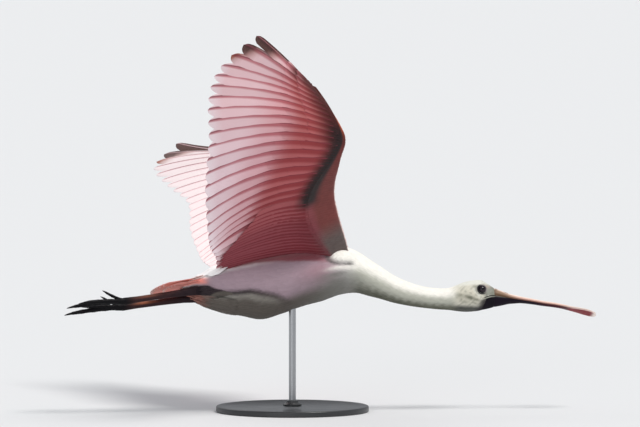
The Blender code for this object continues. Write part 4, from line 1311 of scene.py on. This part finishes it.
def buildVent():
    count, below = vent["count"], math.pi * 1.5
    x0 = rng.uniform(vent["from"], vent["to"], count)
    a0 = below + rng.uniform(-vent["spread"], vent["spread"], count)
    length = rng.uniform(*vent["length"], count) * (0.8 + 0.2 * np.cos(a0 - below))
    share, spot = vaneGrid(vent)
    root = bodyPoint(x0, a0, -vent["depth"])
    out = unit(bodyPoint(x0, a0) - root)
    climb = rng.uniform(0.28, 0.34, count)
    way = np.stack([np.full(count, -1.0), -0.1 * np.cos(a0), climb * -np.sin(a0)], -1)
    side = unit(np.cross(way, out))
    run = each(length) * share
    across = linear(vent["width"], share) * spot + np.zeros((count, 1, 1))
    line = each(root) + each(unit(way)) * run[..., None] + each(out) * (3.4 * ease(0, 0.3, share))[..., None]
    line = line + each(side) * (across * vent["half"])[..., None]
    crown = 0.6 * (1 - spot**2)
    thick = vent["thick"]
    top, bottom = (line + each(out) * (crown + up)[:, None] for up in (thick, -thick))
    body = bodyColour(each(x0) - run * 0.6 + 0 * across, each(a0) + 0 * across)
    tone = each(ease(-124, -156, x0)) * ease(0.3, 0.9, share) + 0 * across
    colour = layered(body, ("vent", tone * 0.8)) * (1 + rng.uniform(-0.08, 0.08, (count, 1, 1, 1)))
    along = (x0 - vent["from"]) / (vent["to"] - vent["from"])
    bakeRoot = 0.05 + 0.9 * np.stack([(a0 - a0.min()) / np.ptp(a0), along], -1)
    addCoat("ventFeathers", top, bottom, across * 0.9, share, bakeRoot, 0.01, colour)


buildVent()


# Long white feathers that lie loose over the rump, between the wings and the tail
rumpTuft = {
    "roots": np.arange(-84.0, -127.0, -7.0), "abreast": 9,
    "rows": 10, "columns": 5, "length": (44.0, 58.0), "half": 6.4, "thick": 0.09,
    "width": ((0, 0.4), (0.25, 0.9), (0.6, 1.0), (0.85, 0.75), (0.95, 0.45), (1.0, 0.1)),
    "reach": ((-160, 0.95), (-142, 0.8), (-122, 0.42), (-90, 0.3)),
    "lift": (
        (-186, 0.9), (-176, 1.8), (-166, 4.2), (-156, 6.6), (-142, 6.2), (-122, 3.6), (-96, 1.4), (-80, 0.4),
    ),
}


def buildRumpTuft():
    x0, a0 = np.meshgrid(rumpTuft["roots"], np.linspace(-1, 1, rumpTuft["abreast"]), indexing="ij")
    a0 = a0 + np.where(np.arange(len(x0)) % 2, 0.12, 0.0)[:, None]
    count = x0.size
    x0, a0 = x0.ravel() + rng.uniform(-2, 2, count), a0.ravel() + rng.uniform(-0.03, 0.03, count)
    length = rng.uniform(*rumpTuft["length"], count) * (1 - 0.2 * a0**2)
    share, spot = vaneGrid(rumpTuft)
    x = each(x0) - each(length) * share + 0 * spot
    across = linear(rumpTuft["width"], share) * spot + 0 * x
    turnPerMm = rumpTuft["half"] / np.maximum(bodyPoint(x, 0.0)[..., 1], 14.0)
    angle = math.pi / 2 + each(a0) * linear(rumpTuft["reach"], x) + across * turnPerMm
    loose = 1 - 0.7 * np.clip(np.abs(angle - math.pi / 2) / 1.1, 0, 1) ** 2
    lift = linear(rumpTuft["lift"], x) * loose * rng.uniform(0.75, 1.0, (count, 1, 1)) + 0.5 * (1 - spot**2)
    lift = lift + 0.04 * each(x0 + 126) * share - 2.0 * ease(0.3, 0.0, share)
    top, bottom = bothFaces(x, angle, lift, rumpTuft["thick"])
    colour = hues["white"] * (1 + rng.uniform(-0.03, 0.0, (count, 1, 1, 1))) + 0 * top
    bakeRoot = 0.05 + 0.9 * np.stack([(a0 + 1.2) / 2.4, (x0 + 130) / 50], -1)
    addCoat("rumpTuft", top, bottom, across * 0.9, share, bakeRoot, 0.01, colour)


buildRumpTuft()


# Short feathers on the thighs, where the legs come out of the flank
thighCoat = {
    "from": 0.2, "to": 0.78, "stepMm": 2.8, "around": 17,
    "rows": 6, "columns": 3, "length": 13.0, "half": 2.2, "thick": 0.07,
    "width": ((0, 0.4), (0.3, 1.0), (0.6, 0.9), (0.85, 0.5), (1.0, 0.08)),
    "dark": ((0.2, -0.1), (0.45, 0.1), (0.6, 0.35), (0.7, 0.8), (0.76, 1.3)),
}


def buildThigh(label, side):
    knee, ankle = legPoint("knee", side), legPoint("ankle", side)
    long, around = np.linalg.norm(ankle - knee), thighCoat["around"]
    places = np.arange(thighCoat["from"] * long, thighCoat["to"] * long, thighCoat["stepMm"])
    turn0 = (np.arange(around) + 0.5 * (np.arange(len(places)) % 2)[:, None]) * 2 * math.pi / around
    t0 = np.repeat(places / long, around) + rng.uniform(-0.012, 0.012, len(places) * around)
    turn0 = turn0.ravel() + rng.uniform(-0.1, 0.1, len(t0))
    length = thighCoat["length"] * rng.uniform(0.75, 1.15, len(t0))
    share, spot = vaneGrid(thighCoat)
    t = each(t0) + each(length) * share / long + 0 * spot
    across = linear(thighCoat["width"], share) * spot + 0 * t
    radius = linear(legShape["thighRadii"], t)
    turn = each(turn0) + across * thighCoat["half"] / radius
    ahead = unit(ankle - knee)
    beside = unit(np.cross(ahead, (0.0, 0.0, 1.0)))
    upward = np.sin(turn)
    out = np.cos(turn)[..., None] * beside + upward[..., None] * np.cross(beside, ahead)
    line = knee + (ankle - knee) * t[..., None]
    reach = radius - 0.3 + 0.9 * share + 0.3 * (1 - spot**2)
    thick = thighCoat["thick"]
    top, bottom = (line + out * (reach + up)[..., None] for up in (thick, -thick))
    dark = ease(-0.15, 0.15, linear(thighCoat["dark"], t) - np.abs(upward + 0.1))
    # the thigh's feathers take the belly's painted shade below and the flank's tone above
    colour = layered(hues["belly"], ("flank", ease(-0.2, 0.1, upward)), ("tibia", dark))
    colour = colour * (1 + rng.uniform(-0.06, 0.06, (len(t0), 1, 1, 1)))
    bakeRoot = np.stack([0.02 + 0.94 * (turn0 % (2 * math.pi)) / (2 * math.pi), 0.02 + 0.9 * t0], -1)
    addCoat(f"thighFeathers_{label}", top, bottom, across * 0.9, share, bakeRoot, 0.0035, colour)


for label, side in bothSides:
    buildThigh(label, side)


# The alula: three short stiff feathers on the front of the hand
alula = {
    "count": 3, "rows": 12, "columns": 5, "half": 0.42, "thick": 0.2,
    "width": ((0, 0.6), (0.3, 1.0), (0.8, 0.8), (0.94, 0.5), (1.0, 0.1)),
}


def buildAlula(label, chart):
    n = each(np.arange(alula["count"]))
    share, spot = vaneGrid(alula)
    across = linear(alula["width"], share) * spot + 0 * n
    u = 2.02 + 0.02 * n + (0.4 + 0.06 * n) * share + 0 * across
    s = -0.55 - 0.16 * n * share - 0.22 * share + alula["half"] * across
    lift = 3.2 + 0.9 * n + 0.5 * (1 - spot**2) - 1.2 * share + 0 * across
    colour = layered(hues["orange"], ("handBrown", ease(0.2, 0.9, share) * 0.7 + 0 * across))
    bakeRoot = np.stack([np.arange(alula["count"]) * 0.3 + 0.05, np.full(alula["count"], 0.1)], -1)
    addCoat(
        f"alula_{label}", *chart.bothFaces(u, s, lift, alula["thick"]), across * 0.9, share, bakeRoot,
        np.array((0.25, 0.8)), colour, "covertUnder", "pink_feather",
    )


for label, chart in wings.items():
    buildAlula(label, chart)
print("stage: feathers ready")


# Bill: place along X, height of the mouth line, half width, height of the upper jaw and depth of the lower
billShape = {
    "stations": (
        (326, -11.4, 11.0, 14.2, 16.8), (333.6, -11.9, 11.6, 14.6, 17.0), (348, -13.5, 10.0, 11.0, 12.3),
        (362, -15.5, 8.4, 8.7, 7.5), (378, -17.5, 7.2, 7.4, 4.0), (396, -19.7, 6.6, 6.6, 2.9),
        (416, -22.6, 6.4, 6.1, 2.4), (436, -25.0, 6.8, 5.8, 1.9), (452, -27.3, 8.0, 5.2, 1.6),
        (466, -29.5, 11.4, 4.2, 1.6),
        (480, -31.9, 17.0, 3.0, 1.7), (492, -34.7, 19.6, 2.4, 1.5), (501, -37.2, 16.5, 1.8, 1.2),
        (506.4, -38.8, 9.5, 1.3, 0.9), (508.0, -39.2, 2.0, 0.6, 0.5),
    ),
    "mouthGap": 0.4, "sides": 28, "grooveAt": 0.62, "grooveDepth": 0.5,
    "ridge": srgb(244, 226, 214), "side": srgb(222, 184, 170), "base": srgb(128, 104, 80),
    "edge": (srgb(92, 70, 52), srgb(120, 84, 76)), "seam": srgb(104, 84, 70), "spoon": srgb(248, 240, 232),
    "lower": (srgb(26, 18, 30), srgb(70, 22, 34)), "lowerBase": srgb(132, 128, 120),
    "lowerRed": srgb(126, 14, 27), "lowerRim": srgb(236, 208, 200), "lowerTip": srgb(248, 236, 228),
}


def billAt(x):
    return curveAt([(s[0], s[1:]) for s in billShape["stations"]], x).T


def billColour(sign, place, away):
    # by place along X and how far a point lies out toward the jaw's edges, 0 to 1
    if sign > 0:
        edgeTone = blendColour(*billShape["edge"], ease(345, 390, place))
        return layered(
            billShape["ridge"],
            (billShape["side"], ease(0.5, 0.9, away)),
            (billShape["base"], ease(392, 344, place) * ease(0.5, 0.9, away + 0.004 * (350 - place)) * 0.9),
            (edgeTone, ease(0.9, 1.0, away) * (1 - ease(440, 470, place))),
            (billShape["seam"], bump(338.5, 2.6, place + 6 * away) * 0.7),
            (billShape["spoon"], ease(445, 480, place) * 0.7),
        )
    # the lower jaw's near black is partly its own colour and partly painted shade
    return layered(
        blendColour(*billShape["lower"], ease(395, 440, place)),
        (billShape["lowerBase"], ease(0.992, 1.0, away) * ease(362, 340, place) * 0.9),
        (billShape["lowerRed"], ease(454, 468, place)),
        (billShape["lowerRim"], ease(0.84, 0.93, away) * ease(450, 478, place)),
        (billShape["lowerTip"], ease(498, 506, place)),
    )


def buildBill():
    x = np.concatenate([np.linspace(326, 500, 150), np.linspace(501, 508, 16)])
    mouth, width, up, down = billAt(x)[..., None]
    x = x[:, None]
    angle = np.linspace(0, math.pi, billShape["sides"] + 1)
    cos, sin = np.cos(angle), np.sin(angle)
    back = cos[-2:0:-1]  # the flat side, from edge to edge
    away = np.abs(np.concatenate([cos, back]))
    spoon = ease(440, 470, x)
    groove = bump(billShape["grooveAt"], 0.07, np.abs(cos)) * billShape["grooveDepth"]
    groove = groove * ease(342, 356, x) * (1 - spoon)
    wrinkle = 0.22 * np.sin(x / 3.4) * ease(395, 350, x) * ease(334, 342, x) * sin
    rim = bump(0.93, 0.06, np.abs(cos)) * 0.7 * spoon
    dish = -bump(0.0, 0.6, cos) * 0.5 * spoon
    for name, node, sign, reach in (
        ("billUpper", "bill_upper", 1, up), ("billLower", "bill_lower", -1, down),
    ):
        height = np.maximum(reach * sin - groove + wrinkle + rim + dish * sin, 0.02)
        flat = mouth + sign * billShape["mouthGap"] / 2
        outer = np.stack([x + 0 * cos, width * cos, flat + sign * height], -1)
        inner = np.stack([x + 0 * back, width * back, flat + 0 * back], -1)
        colour = billColour(sign, x + 0 * away, away)
        rings = np.concatenate([outer, inner], 1)
        piece = addShell(name, rings, finishes["bill"], colour.reshape(-1, 3), 60)
        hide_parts(node)


buildBill()


def addTube(name, path, radii, finish, colours, sides=12):
    # colours are one for the whole tube or one for each place on its path
    colours = np.repeat(np.broadcast_to(colours, (len(path), 3)), sides, 0)
    return addShell(name, ringsOn(path, radii, sides), finish, colours, 70)


# Nostrils: dark slits of painted shade for the hollows, with a low rim, on the bill's base
nostrils = {
    "x": 352.0, "y": 4.4, "length": 8.5, "rimRadius": 0.4, "radius": 0.62,
    "rim": srgb(176, 146, 126), "inside": srgb(26, 20, 20),
}


def buildNostril(label, side):
    ring, slit = np.linspace(0, 2 * math.pi, 25), np.linspace(math.pi, 0, 13)
    thick = nostrils["radius"] * np.sin(np.linspace(0.15, math.pi - 0.15, 13))
    # name, turn, reach, width, depth, radii, finish and colour
    for name, turn, reach, wide, deep, radii, finish, colour in (
        ("nostrilRim", ring, 1.0, 0.75, 0.05, np.full(25, nostrils["rimRadius"]), "bill", nostrils["rim"]),
        ("nostril", slit, 0.9, 0.0, 0.3, thick, "claw", nostrils["inside"]),
    ):
        x = nostrils["x"] + nostrils["length"] / 2 * np.cos(turn) * reach
        y = nostrils["y"] + wide * np.sin(turn)
        mouth, width, up, _down = billAt(x)
        z = mouth + up * np.sqrt(1 - (y / width) ** 2) - deep
        path = np.stack([x, side * y, z], -1)
        addTube(f"{name}_{label}", path, radii, finishes[finish], colour, 8)


# Eyes: pupil, iris and the dark edge of the eyeball, by the angle from its middle
eyeTones = (
    (srgb(42, 18, 36), 0.34, 0.4), (srgb(22, 11, 19), 0.5, 0.62), (srgb(10, 8, 10), 0.66, 0.74),
)
lids = {
    # radius, height, thickness, how far its lower half hangs and stands out, and its rear and front tones;
    # the darker rear and lower side is painted shade
    "lid": (6.2, 0.2, 0.75, 0.0, 0.5, srgb(26, 22, 28), srgb(98, 90, 94)),
    "lidFold": (7.8, -0.75, 0.85, 1.3, 2.0, srgb(52, 50, 54), srgb(156, 150, 146)),
}


def buildEye(label, side):
    rows, sides = 28, 40
    polar = np.linspace(0.001, math.pi - 0.001, rows)
    turn = turns(sides)
    radius = head["eyeRadius"] - 0.1
    cornea = 1 + 0.05 * bump(0.0, 0.45, polar)
    out = (np.cos(polar) * radius * cornea)[:, None] + 0 * turn
    ring = (np.sin(polar) * radius)[:, None]
    rings = np.stack([ring * np.cos(turn), out * side, ring * np.sin(turn)], -1)
    rings = rings + np.array(head["eye"]) * (1, side, 1)
    colour = layered(srgb(6, 4, 6), *((tone, ease(low, high, polar)) for tone, low, high in eyeTones))
    colour = np.repeat(colour, sides, 0)
    piece = addShell(f"eyeball_{label}", rings, finishes["eye"], colour, 180)
    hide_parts(f"eye_{label}")


def buildLid(name, label, side, shape):
    # a soft round fold that closes on itself round the eye
    reach, lift, thick, hang, out, rear, front = shape
    eyeX, eyeY, eyeZ = head["eye"]
    turn, sides = turns(64), 12
    flatten = 1 - 0.05 * np.sin(turn) ** 2 + hang / reach * ease(0.2, -1.0, np.sin(turn))
    x = eyeX + reach * 1.02 * np.cos(turn)
    y = side * (eyeY + head["lidOut"] + lift - 0.16 * (x - eyeX) - 0.3 * np.abs(np.sin(turn)))
    y = y + side * out * ease(0.1, -0.9, np.sin(turn))
    path = np.stack([x, y, eyeZ + reach * flatten * np.sin(turn)], -1)
    ahead = unit(np.roll(path, -1, 0) - np.roll(path, 1, 0))
    outward = unit(path - np.array((eyeX, side * (eyeY + 3), eyeZ)))
    rise = np.cross(ahead, outward)
    spin = turns(sides)[:, None]
    wrinkle = each(thick * (1 + 0.07 * np.sin(turn * 21)))
    rings = path[:, None] + wrinkle * (np.cos(spin) * outward[:, None] + np.sin(spin) * rise[:, None])
    points, faces = loft(np.concatenate([rings, rings[:1]]), False, False)
    count = len(turn) * sides
    faces = [[i % count for i in cell] for cell in faces]
    tone = blendColour(rear, front, ease(-0.4, 0.6, 0.8 * np.cos(turn) + 0.45 * np.sin(turn)))
    piece = addPiece(
        f"{name}_{label}", points[:count], faces, [finishes["skin"]],
        np.repeat(tone, sides, 0), sharpDeg=180,
    )
    turnOutward(piece)


# The corner of the mouth: a soft fold with the dark mouth line over it, a line of painted shade in the crease
gape = {
    "end": 334.5, "radius": 1.35, "line": ((307, 0.1), (315, 0.5), (323, 0.85), (330, 0.8), (334.5, 0.5)),
    "rear": srgb(168, 170, 158), "front": srgb(132, 130, 122), "dark": srgb(46, 44, 38),
}


def buildGape(label, side):
    x = np.linspace(head["gape"][0][0], gape["end"], 30)
    z = linear(head["gape"], x)
    centre, width, reach = (np.interp(x, bodyGrid, bodyTable[:, k]) for k in (0, 1, 3))
    y = side * (width * np.sqrt(np.clip(1 - ((z - centre) / reach) ** 2, 0, 1)) - 0.2)
    thick = gape["radius"] * (
        np.sin(np.linspace(0.12, 1, 30) * math.pi / 2) * (1 - 0.6 * ease(329, gape["end"], x))
    )
    tone = blendColour(gape["rear"], gape["front"], ease(318, 332, x))
    for name, inward, lift, radii, colour, sides in (
        ("gapeFold", 0.75, -1.5, thick, tone, 10),
        ("mouthLine", 0.2, 0.2, linear(gape["line"], x), gape["dark"], 8),
    ):
        path = np.stack([x, y - inward * side, z + lift], -1)
        addTube(f"{name}_{label}", path, radii, finishes["skin"], colour, sides)


for label, side in bothSides:
    buildNostril(label, side)
for label, side in bothSides:
    buildEye(label, side)
    for name, shape in lids.items():
        buildLid(name, label, side, shape)
    buildGape(label, side)


# Legs and feet
footShape = {
    # for each toe: angle, length, fall, thickness and number of joints
    "toes": {
        "outer": (8.0, 84.0, -9.0, 4.4, 4), "middle": (2.5, 102.0, -15.5, 4.7, 4),
        "inner": (-3.5, 73.0, -2.5, 4.2, 3), "hallux": (0.0, 41.0, 18.0, 3.0, 2),
    },
    "clawShare": 0.13, "scutePitch": 3.4, "toeScutePitch": 2.4, "webShare": 0.56, "webThick": 0.9,
    "toeWidth": ((0, 1.3), (0.25, 0.95), (0.5, 0.9), (0.78, 0.74), (0.87, 0.6)),
    "scute": (srgb(12, 11, 15), srgb(36, 29, 31)), "web": srgb(15, 13, 17), "heel": srgb(14, 12, 16),
    "claw": srgb(12, 11, 12),
}
shankShape = {
    "radii": (
        (-0.06, 6.8), (-0.03, 7.6), (0.0, 7.9), (0.04, 7.4), (0.12, 6.3), (0.3, 5.5), (0.5, 5.2), (0.8, 5.2),
        (0.93, 5.8), (1.0, 6.2), (1.04, 5.6),
    ),
    # the lighter scute tone and the warm colour are painted highlight, on the raised scute edges and along
    # the top of the shank, more on the left leg
    "scute": (srgb(56, 36, 38), srgb(84, 52, 46)), "topHighlight": srgb(196, 118, 84), "topHighlightDepth": {1: 0.6, -1: 0.2},
}


def scuteRipple(distance, pitch):
    return (1 - (distance / pitch) % 1.0) ** 2


def shankLine(side):
    ankle, end = legPoint("ankle", side), legPoint("shankEnd", side)
    return ankle, end, unit(end - ankle)


def buildShank(label, side):
    ankle, end, ahead = shankLine(side)
    length = np.linalg.norm(end - ankle)
    distance = np.linspace(-6, length + 3, 230)[:, None]
    t, turn = distance / length, turns(24)
    front = ease(-0.35, 0.25, np.sin(turn))
    ripple = scuteRipple(distance, footShape["scutePitch"]) * 0.42 * front * ease(-2, 6, distance)
    net = 0.12 * np.sin(distance * 2.2 + 3 * np.cos(turn * 6)) * (1 - front)
    radii = linear(shankShape["radii"], t) * (1 - 0.08 * np.abs(np.cos(turn))) + ripple + net
    # painted highlight: lighter raised scute edges, and a warm highlight along part of the top of the shank
    colour = layered(
        blendColour(*shankShape["scute"], 0.6 * (ripple / 0.42)),
        (shankShape["topHighlight"], bump(0.68, 0.14, t) * front * shankShape["topHighlightDepth"][side]),
        ("tibia", ease(0.45, 0.1, t) * 0.8),
        (footShape["heel"], ease(0.84, 0.98, t) * 0.9),
    )
    rings = ringsOn(ankle + ahead * distance, radii, 24)
    piece = addShell(f"shank_{label}", rings, finishes["leg"], colour.reshape(-1, 3))
    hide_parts(f"leg_{label}_shank")


def buildHeel(label, side):
    _ankle, end, ahead = shankLine(side)
    along = np.linspace(-7, 13, 24)
    size = 5.6 * np.sqrt(np.clip(1 - ((along - 2) / 12.5) ** 2, 0.02, 1))
    path = end + ahead * along[:, None]
    addTube(f"heelPad_{label}", path, size, finishes["leg"], footShape["heel"], 18)


def buildToe(label, side, name):
    angle, reach, fall, thick, joints = footShape["toes"][name]
    _ankle, end, ahead = shankLine(side)
    start = end - ahead * 2
    turnBy = math.radians(angle)
    way = np.array((-math.cos(turnBy), math.sin(turnBy) * side, 0.0))

    def toeLine(s):
        return start + way * reach * s[:, None] + np.array((0, 0, fall)) * (s * (0.5 + s * 0.5))[:, None]

    share = np.linspace(0, 1 - footShape["clawShare"], 90)
    path = toeLine(share)
    knuckle = sum(bump((j + 0.6) / (joints + 0.4) * 0.86, 0.035, share) for j in range(joints)) * 0.13
    base = linear(footShape["toeWidth"], share) * thick * (1 + knuckle)
    topSide = ease(-0.2, 0.4, np.sin(turns(18)))
    ripple = scuteRipple(share * reach, footShape["toeScutePitch"])[:, None] * 0.22 * topSide
    pads = 0.12 * np.sin(share * reach * 1.4)[:, None] * (1 - topSide)
    # the raised scute edges on top of the toe are painted lighter as a highlight
    colour = blendColour(*footShape["scute"], ripple / 0.22 * 0.6).reshape(-1, 3)
    rings = ringsOn(path, base[:, None] + ripple + pads, 18, 0.9)
    piece = addShell(f"toe_{name}_{label}", rings, finishes["leg"], colour)
    if name == "middle":
        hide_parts(f"foot_{label}")
    share = np.linspace(1 - footShape["clawShare"] - 0.02, 1.0, 16)
    toTip = (share - share[0]) / (share[-1] - share[0])
    drop = np.stack([0 * toTip, 0 * toTip, -0.9 * toTip**2], -1)
    size = thick * 0.52 * np.sqrt(np.clip(1 - toTip, 0.003, 1))
    claw = f"claw_{name}_{label}"
    addTube(claw, toeLine(share) + drop, size, finishes["claw"], footShape["claw"])
    return path


def buildWeb(name, first, second):
    # a small web between two toes, cut back in its middle
    rows, columns = 16, 6
    span = np.linspace(0, 1, columns)
    along = np.arange(rows)[:, None] / (rows - 1) * footShape["webShare"]
    i = np.clip((along * (1 - 0.35 * np.sin(span * math.pi)) * 89).astype(int), 0, 89)
    grid = first[i] + (second[i] - first[i]) * span[:, None]
    rise = np.array((0.0, 0.0, footShape["webThick"] / 2))
    points = np.concatenate([(grid + rise).reshape(-1, 3), (grid - rise).reshape(-1, 3)])
    colour = np.tile(footShape["web"], (len(points), 1))
    faces = plateFaces(1, rows, columns)[0]
    turnOutward(addPiece(name, points, faces, [finishes["leg"]], colour))


for label, side in bothSides:
    buildShank(label, side)
    toes = {name: buildToe(label, side, name) for name in footShape["toes"]}
    for first, second in (("outer", "middle"), ("middle", "inner")):
        buildWeb(f"web_{first}_{label}", toes[first], toes[second])
    buildHeel(label, side)
print("stage: bill, eyes, legs and feet ready")


# Stand
stand = {
    "baseRadius": 130.0, "baseThick": 10.0, "edge": 2.5, "rodRadius": 6.0, "rodTop": 186.0,
    "collarRadius": 16.0, "collarLow": 10.3, "collarHeight": 9.0, "collarBore": 6.1,
    "paint": {
        "roughness": 0.42, "coat": 0.2, "metallic": 0.0, "stretch": 1.0, "size": 30.0, "grain": 1400.0,
        "colours": (srgb(30, 31, 33), srgb(54, 55, 58)), "cloud": 0.5,
        "roughFrom": 0.34, "roughBy": 0.2, "bump": 0.25, "bumpDistance": 0.0002,
    },
    "steel": {
        "roughness": 0.3, "coat": 0.0, "metallic": 1.0, "stretch": 60.0, "size": 40.0, "grain": 200.0,
        "colours": (srgb(176, 178, 180), srgb(140, 142, 146)), "cloud": 0.6,
        "roughFrom": 0.2, "roughBy": 0.25, "bump": 0.1, "bumpDistance": 0.0001,
    },
}


def standMaterial(name, look):
    # clouding over one colour; the stretch draws it out round the turned steel
    material, tree, shader = startMaterial(
        name, look["roughness"], Coat_Weight=look["coat"], Metallic=look["metallic"]
    )
    coords = tree.nodes.new("ShaderNodeTexCoord")
    stretch = tree.nodes.new("ShaderNodeMapping")
    stretch.inputs["Scale"].default_value = (1.0, 1.0, look["stretch"])
    tree.links.new(coords.outputs["Object"], stretch.inputs["Vector"])
    marks = placeGroup(tree, mottleGroup, stretch.outputs[0], Size=look["size"], Grain=look["grain"])
    cloud = marks.outputs["Cloud"]
    colour = mixColour(tree, mathNode(tree, "MULTIPLY", cloud, look["cloud"]), *look["colours"])
    tree.links.new(colour, shader.inputs["Base Color"])
    rough = mathNode(tree, "MULTIPLY_ADD", cloud, look["roughBy"], look["roughFrom"])
    tree.links.new(rough, shader.inputs["Roughness"])
    addBump(tree, shader, marks.outputs["Height"], look["bump"], look["bumpDistance"])
    return material


def turned(name, profile, material, sides):
    # a round piece from its profile of (radius, height) points
    x, y = np.cos(turns(sides)), np.sin(turns(sides))
    rings = [np.stack([r * x, r * y, np.full(sides, z)], -1) * 0.001 for r, z in profile]
    return addShell(name, rings, material, sharpDeg=35, placed=True)


def arc(centreR, centreZ, radius, start, steps=4):
    # from the start angle to straight up
    return [
        (centreR + radius * math.cos(turn), centreZ + radius * math.sin(turn))
        for turn in np.radians(np.linspace(start, 90, steps))
    ]


def buildStand():
    paint, steel = standMaterial("standPaint", stand["paint"]), standMaterial("brushedSteel", stand["steel"])
    r, h, e = stand["baseRadius"], stand["baseThick"], stand["edge"]
    profile = [(0.4, 0.0), (r - 1.2, 0.0), (r, 1.2), (r, h - e)] + arc(r - e, h - e, e, 10, 6)
    profile += [(r - 14, h), (r - 15, h - 0.5), (0.4, h - 0.5)]
    base = turned("standBase", profile, paint, 128)
    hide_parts("stand_base")
    c, z, bore = stand["collarRadius"], stand["collarLow"], stand["collarBore"]
    profile = [(bore, z), (c - 0.6, z), (c, z + 0.6), (c, z + 2.4), (c - 1.2, z + 3.4), (11.0, z + 5.6)]
    profile += [(10.2, z + 8.2)] + arc(9.4, z + 8.2, 0.8, 0) + [(bore, z + stand["collarHeight"])]
    collar = turned("standCollar", profile, paint, 72)
    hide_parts("stand_collar")
    r, low, top = stand["rodRadius"], z + stand["collarHeight"] + 0.35, stand["rodTop"]
    profile = [(0.3, low), (r, low), (r, top - 1.5)] + arc(r - 1.5, top - 1.5, 1.5, 0) + [(0.3, top)]
    rod = turned("standRod", profile, steel, 48)
    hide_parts("stand_rod")


buildStand()
print("stage: stand ready")


# Floor, light and camera
studio = {
    "floor": srgb(222, 223, 224), "world": srgb(232, 236, 242), "worldStrength": 0.54, "colours": "Standard",
}
bpy.context.scene.view_settings.view_transform = studio["colours"]
floorMesh = bpy.data.meshes.new("floor")
floorMesh.from_pydata([(-90, -60, 0), (90, -60, 0), (90, 120, 0), (-90, 120, 0)], [], [(0, 1, 2, 3)])
floor = bpy.data.objects.new("floor", floorMesh)
bpy.context.scene.collection.objects.link(floor)
floorMaterial, floorTree, floorShader = startMaterial("floorPaint", 0.85)
floorShader.inputs["Base Color"].default_value = (*studio["floor"], 1.0)
floorMesh.materials.append(floorMaterial)

world = bpy.data.worlds.new("studio")
world.use_nodes = True
world.node_tree.nodes["Background"].inputs[0].default_value = (*studio["world"], 1.0)
world.node_tree.nodes["Background"].inputs[1].default_value = studio["worldStrength"]
bpy.context.scene.world = world


def softSun(name, direction, power, spreadDeg, colour):
    data = bpy.data.lights.new(name, "SUN")
    data.energy, data.angle, data.color = power, math.radians(spreadDeg), colour
    light = bpy.data.objects.new(name, data)
    light.rotation_euler = Vector(direction).to_track_quat("-Z", "Y").to_euler()
    bpy.context.scene.collection.objects.link(light)


# name, direction, power, spread in degrees and colour
softSun("key", (-0.42, 0.3, -1.0), 2.2, 24.0, (1.0, 0.98, 0.95))
softSun("fill", (1.4, 3.0, -0.6), 0.55, 40.0, (0.98, 0.98, 1.0))
softSun("back", (1.2, -2.4, -2.5), 0.34, 28.0, (1.0, 0.99, 0.98))

view = {
    "azimuth": -7.0, "elevation": 4.0, "distance": 25.0, "mmPerPixel": 1.70,
    "aimPixel": (20.0, 71.5), "pixelsWide": 640, "sensor": 36.0,
}
az, el = math.radians(view["azimuth"]), math.radians(view["elevation"])
back = Vector((math.sin(az) * math.cos(el), -math.cos(az) * math.cos(el), math.sin(el)))
right = Vector((math.cos(az), math.sin(az), 0.0))
up = back.cross(right)
birdOrigin = Vector(birdPose["placeMm"]) * 0.001
scale = view["mmPerPixel"] * 0.001
aim = birdOrigin + right * view["aimPixel"][0] * scale + up * view["aimPixel"][1] * scale
cameraData = bpy.data.cameras.new("camera")
cameraData.sensor_width = view["sensor"]
cameraData.lens = view["sensor"] * view["distance"] / (view["pixelsWide"] * scale)
cameraData.clip_end = 400.0
camera = bpy.data.objects.new("camera", cameraData)
camera.location = aim + back * view["distance"]
camera.rotation_euler = (-back).to_track_quat("-Z", "Y").to_euler()
bpy.context.scene.collection.objects.link(camera)
bpy.context.scene.camera = camera

print("stage: studio ready")
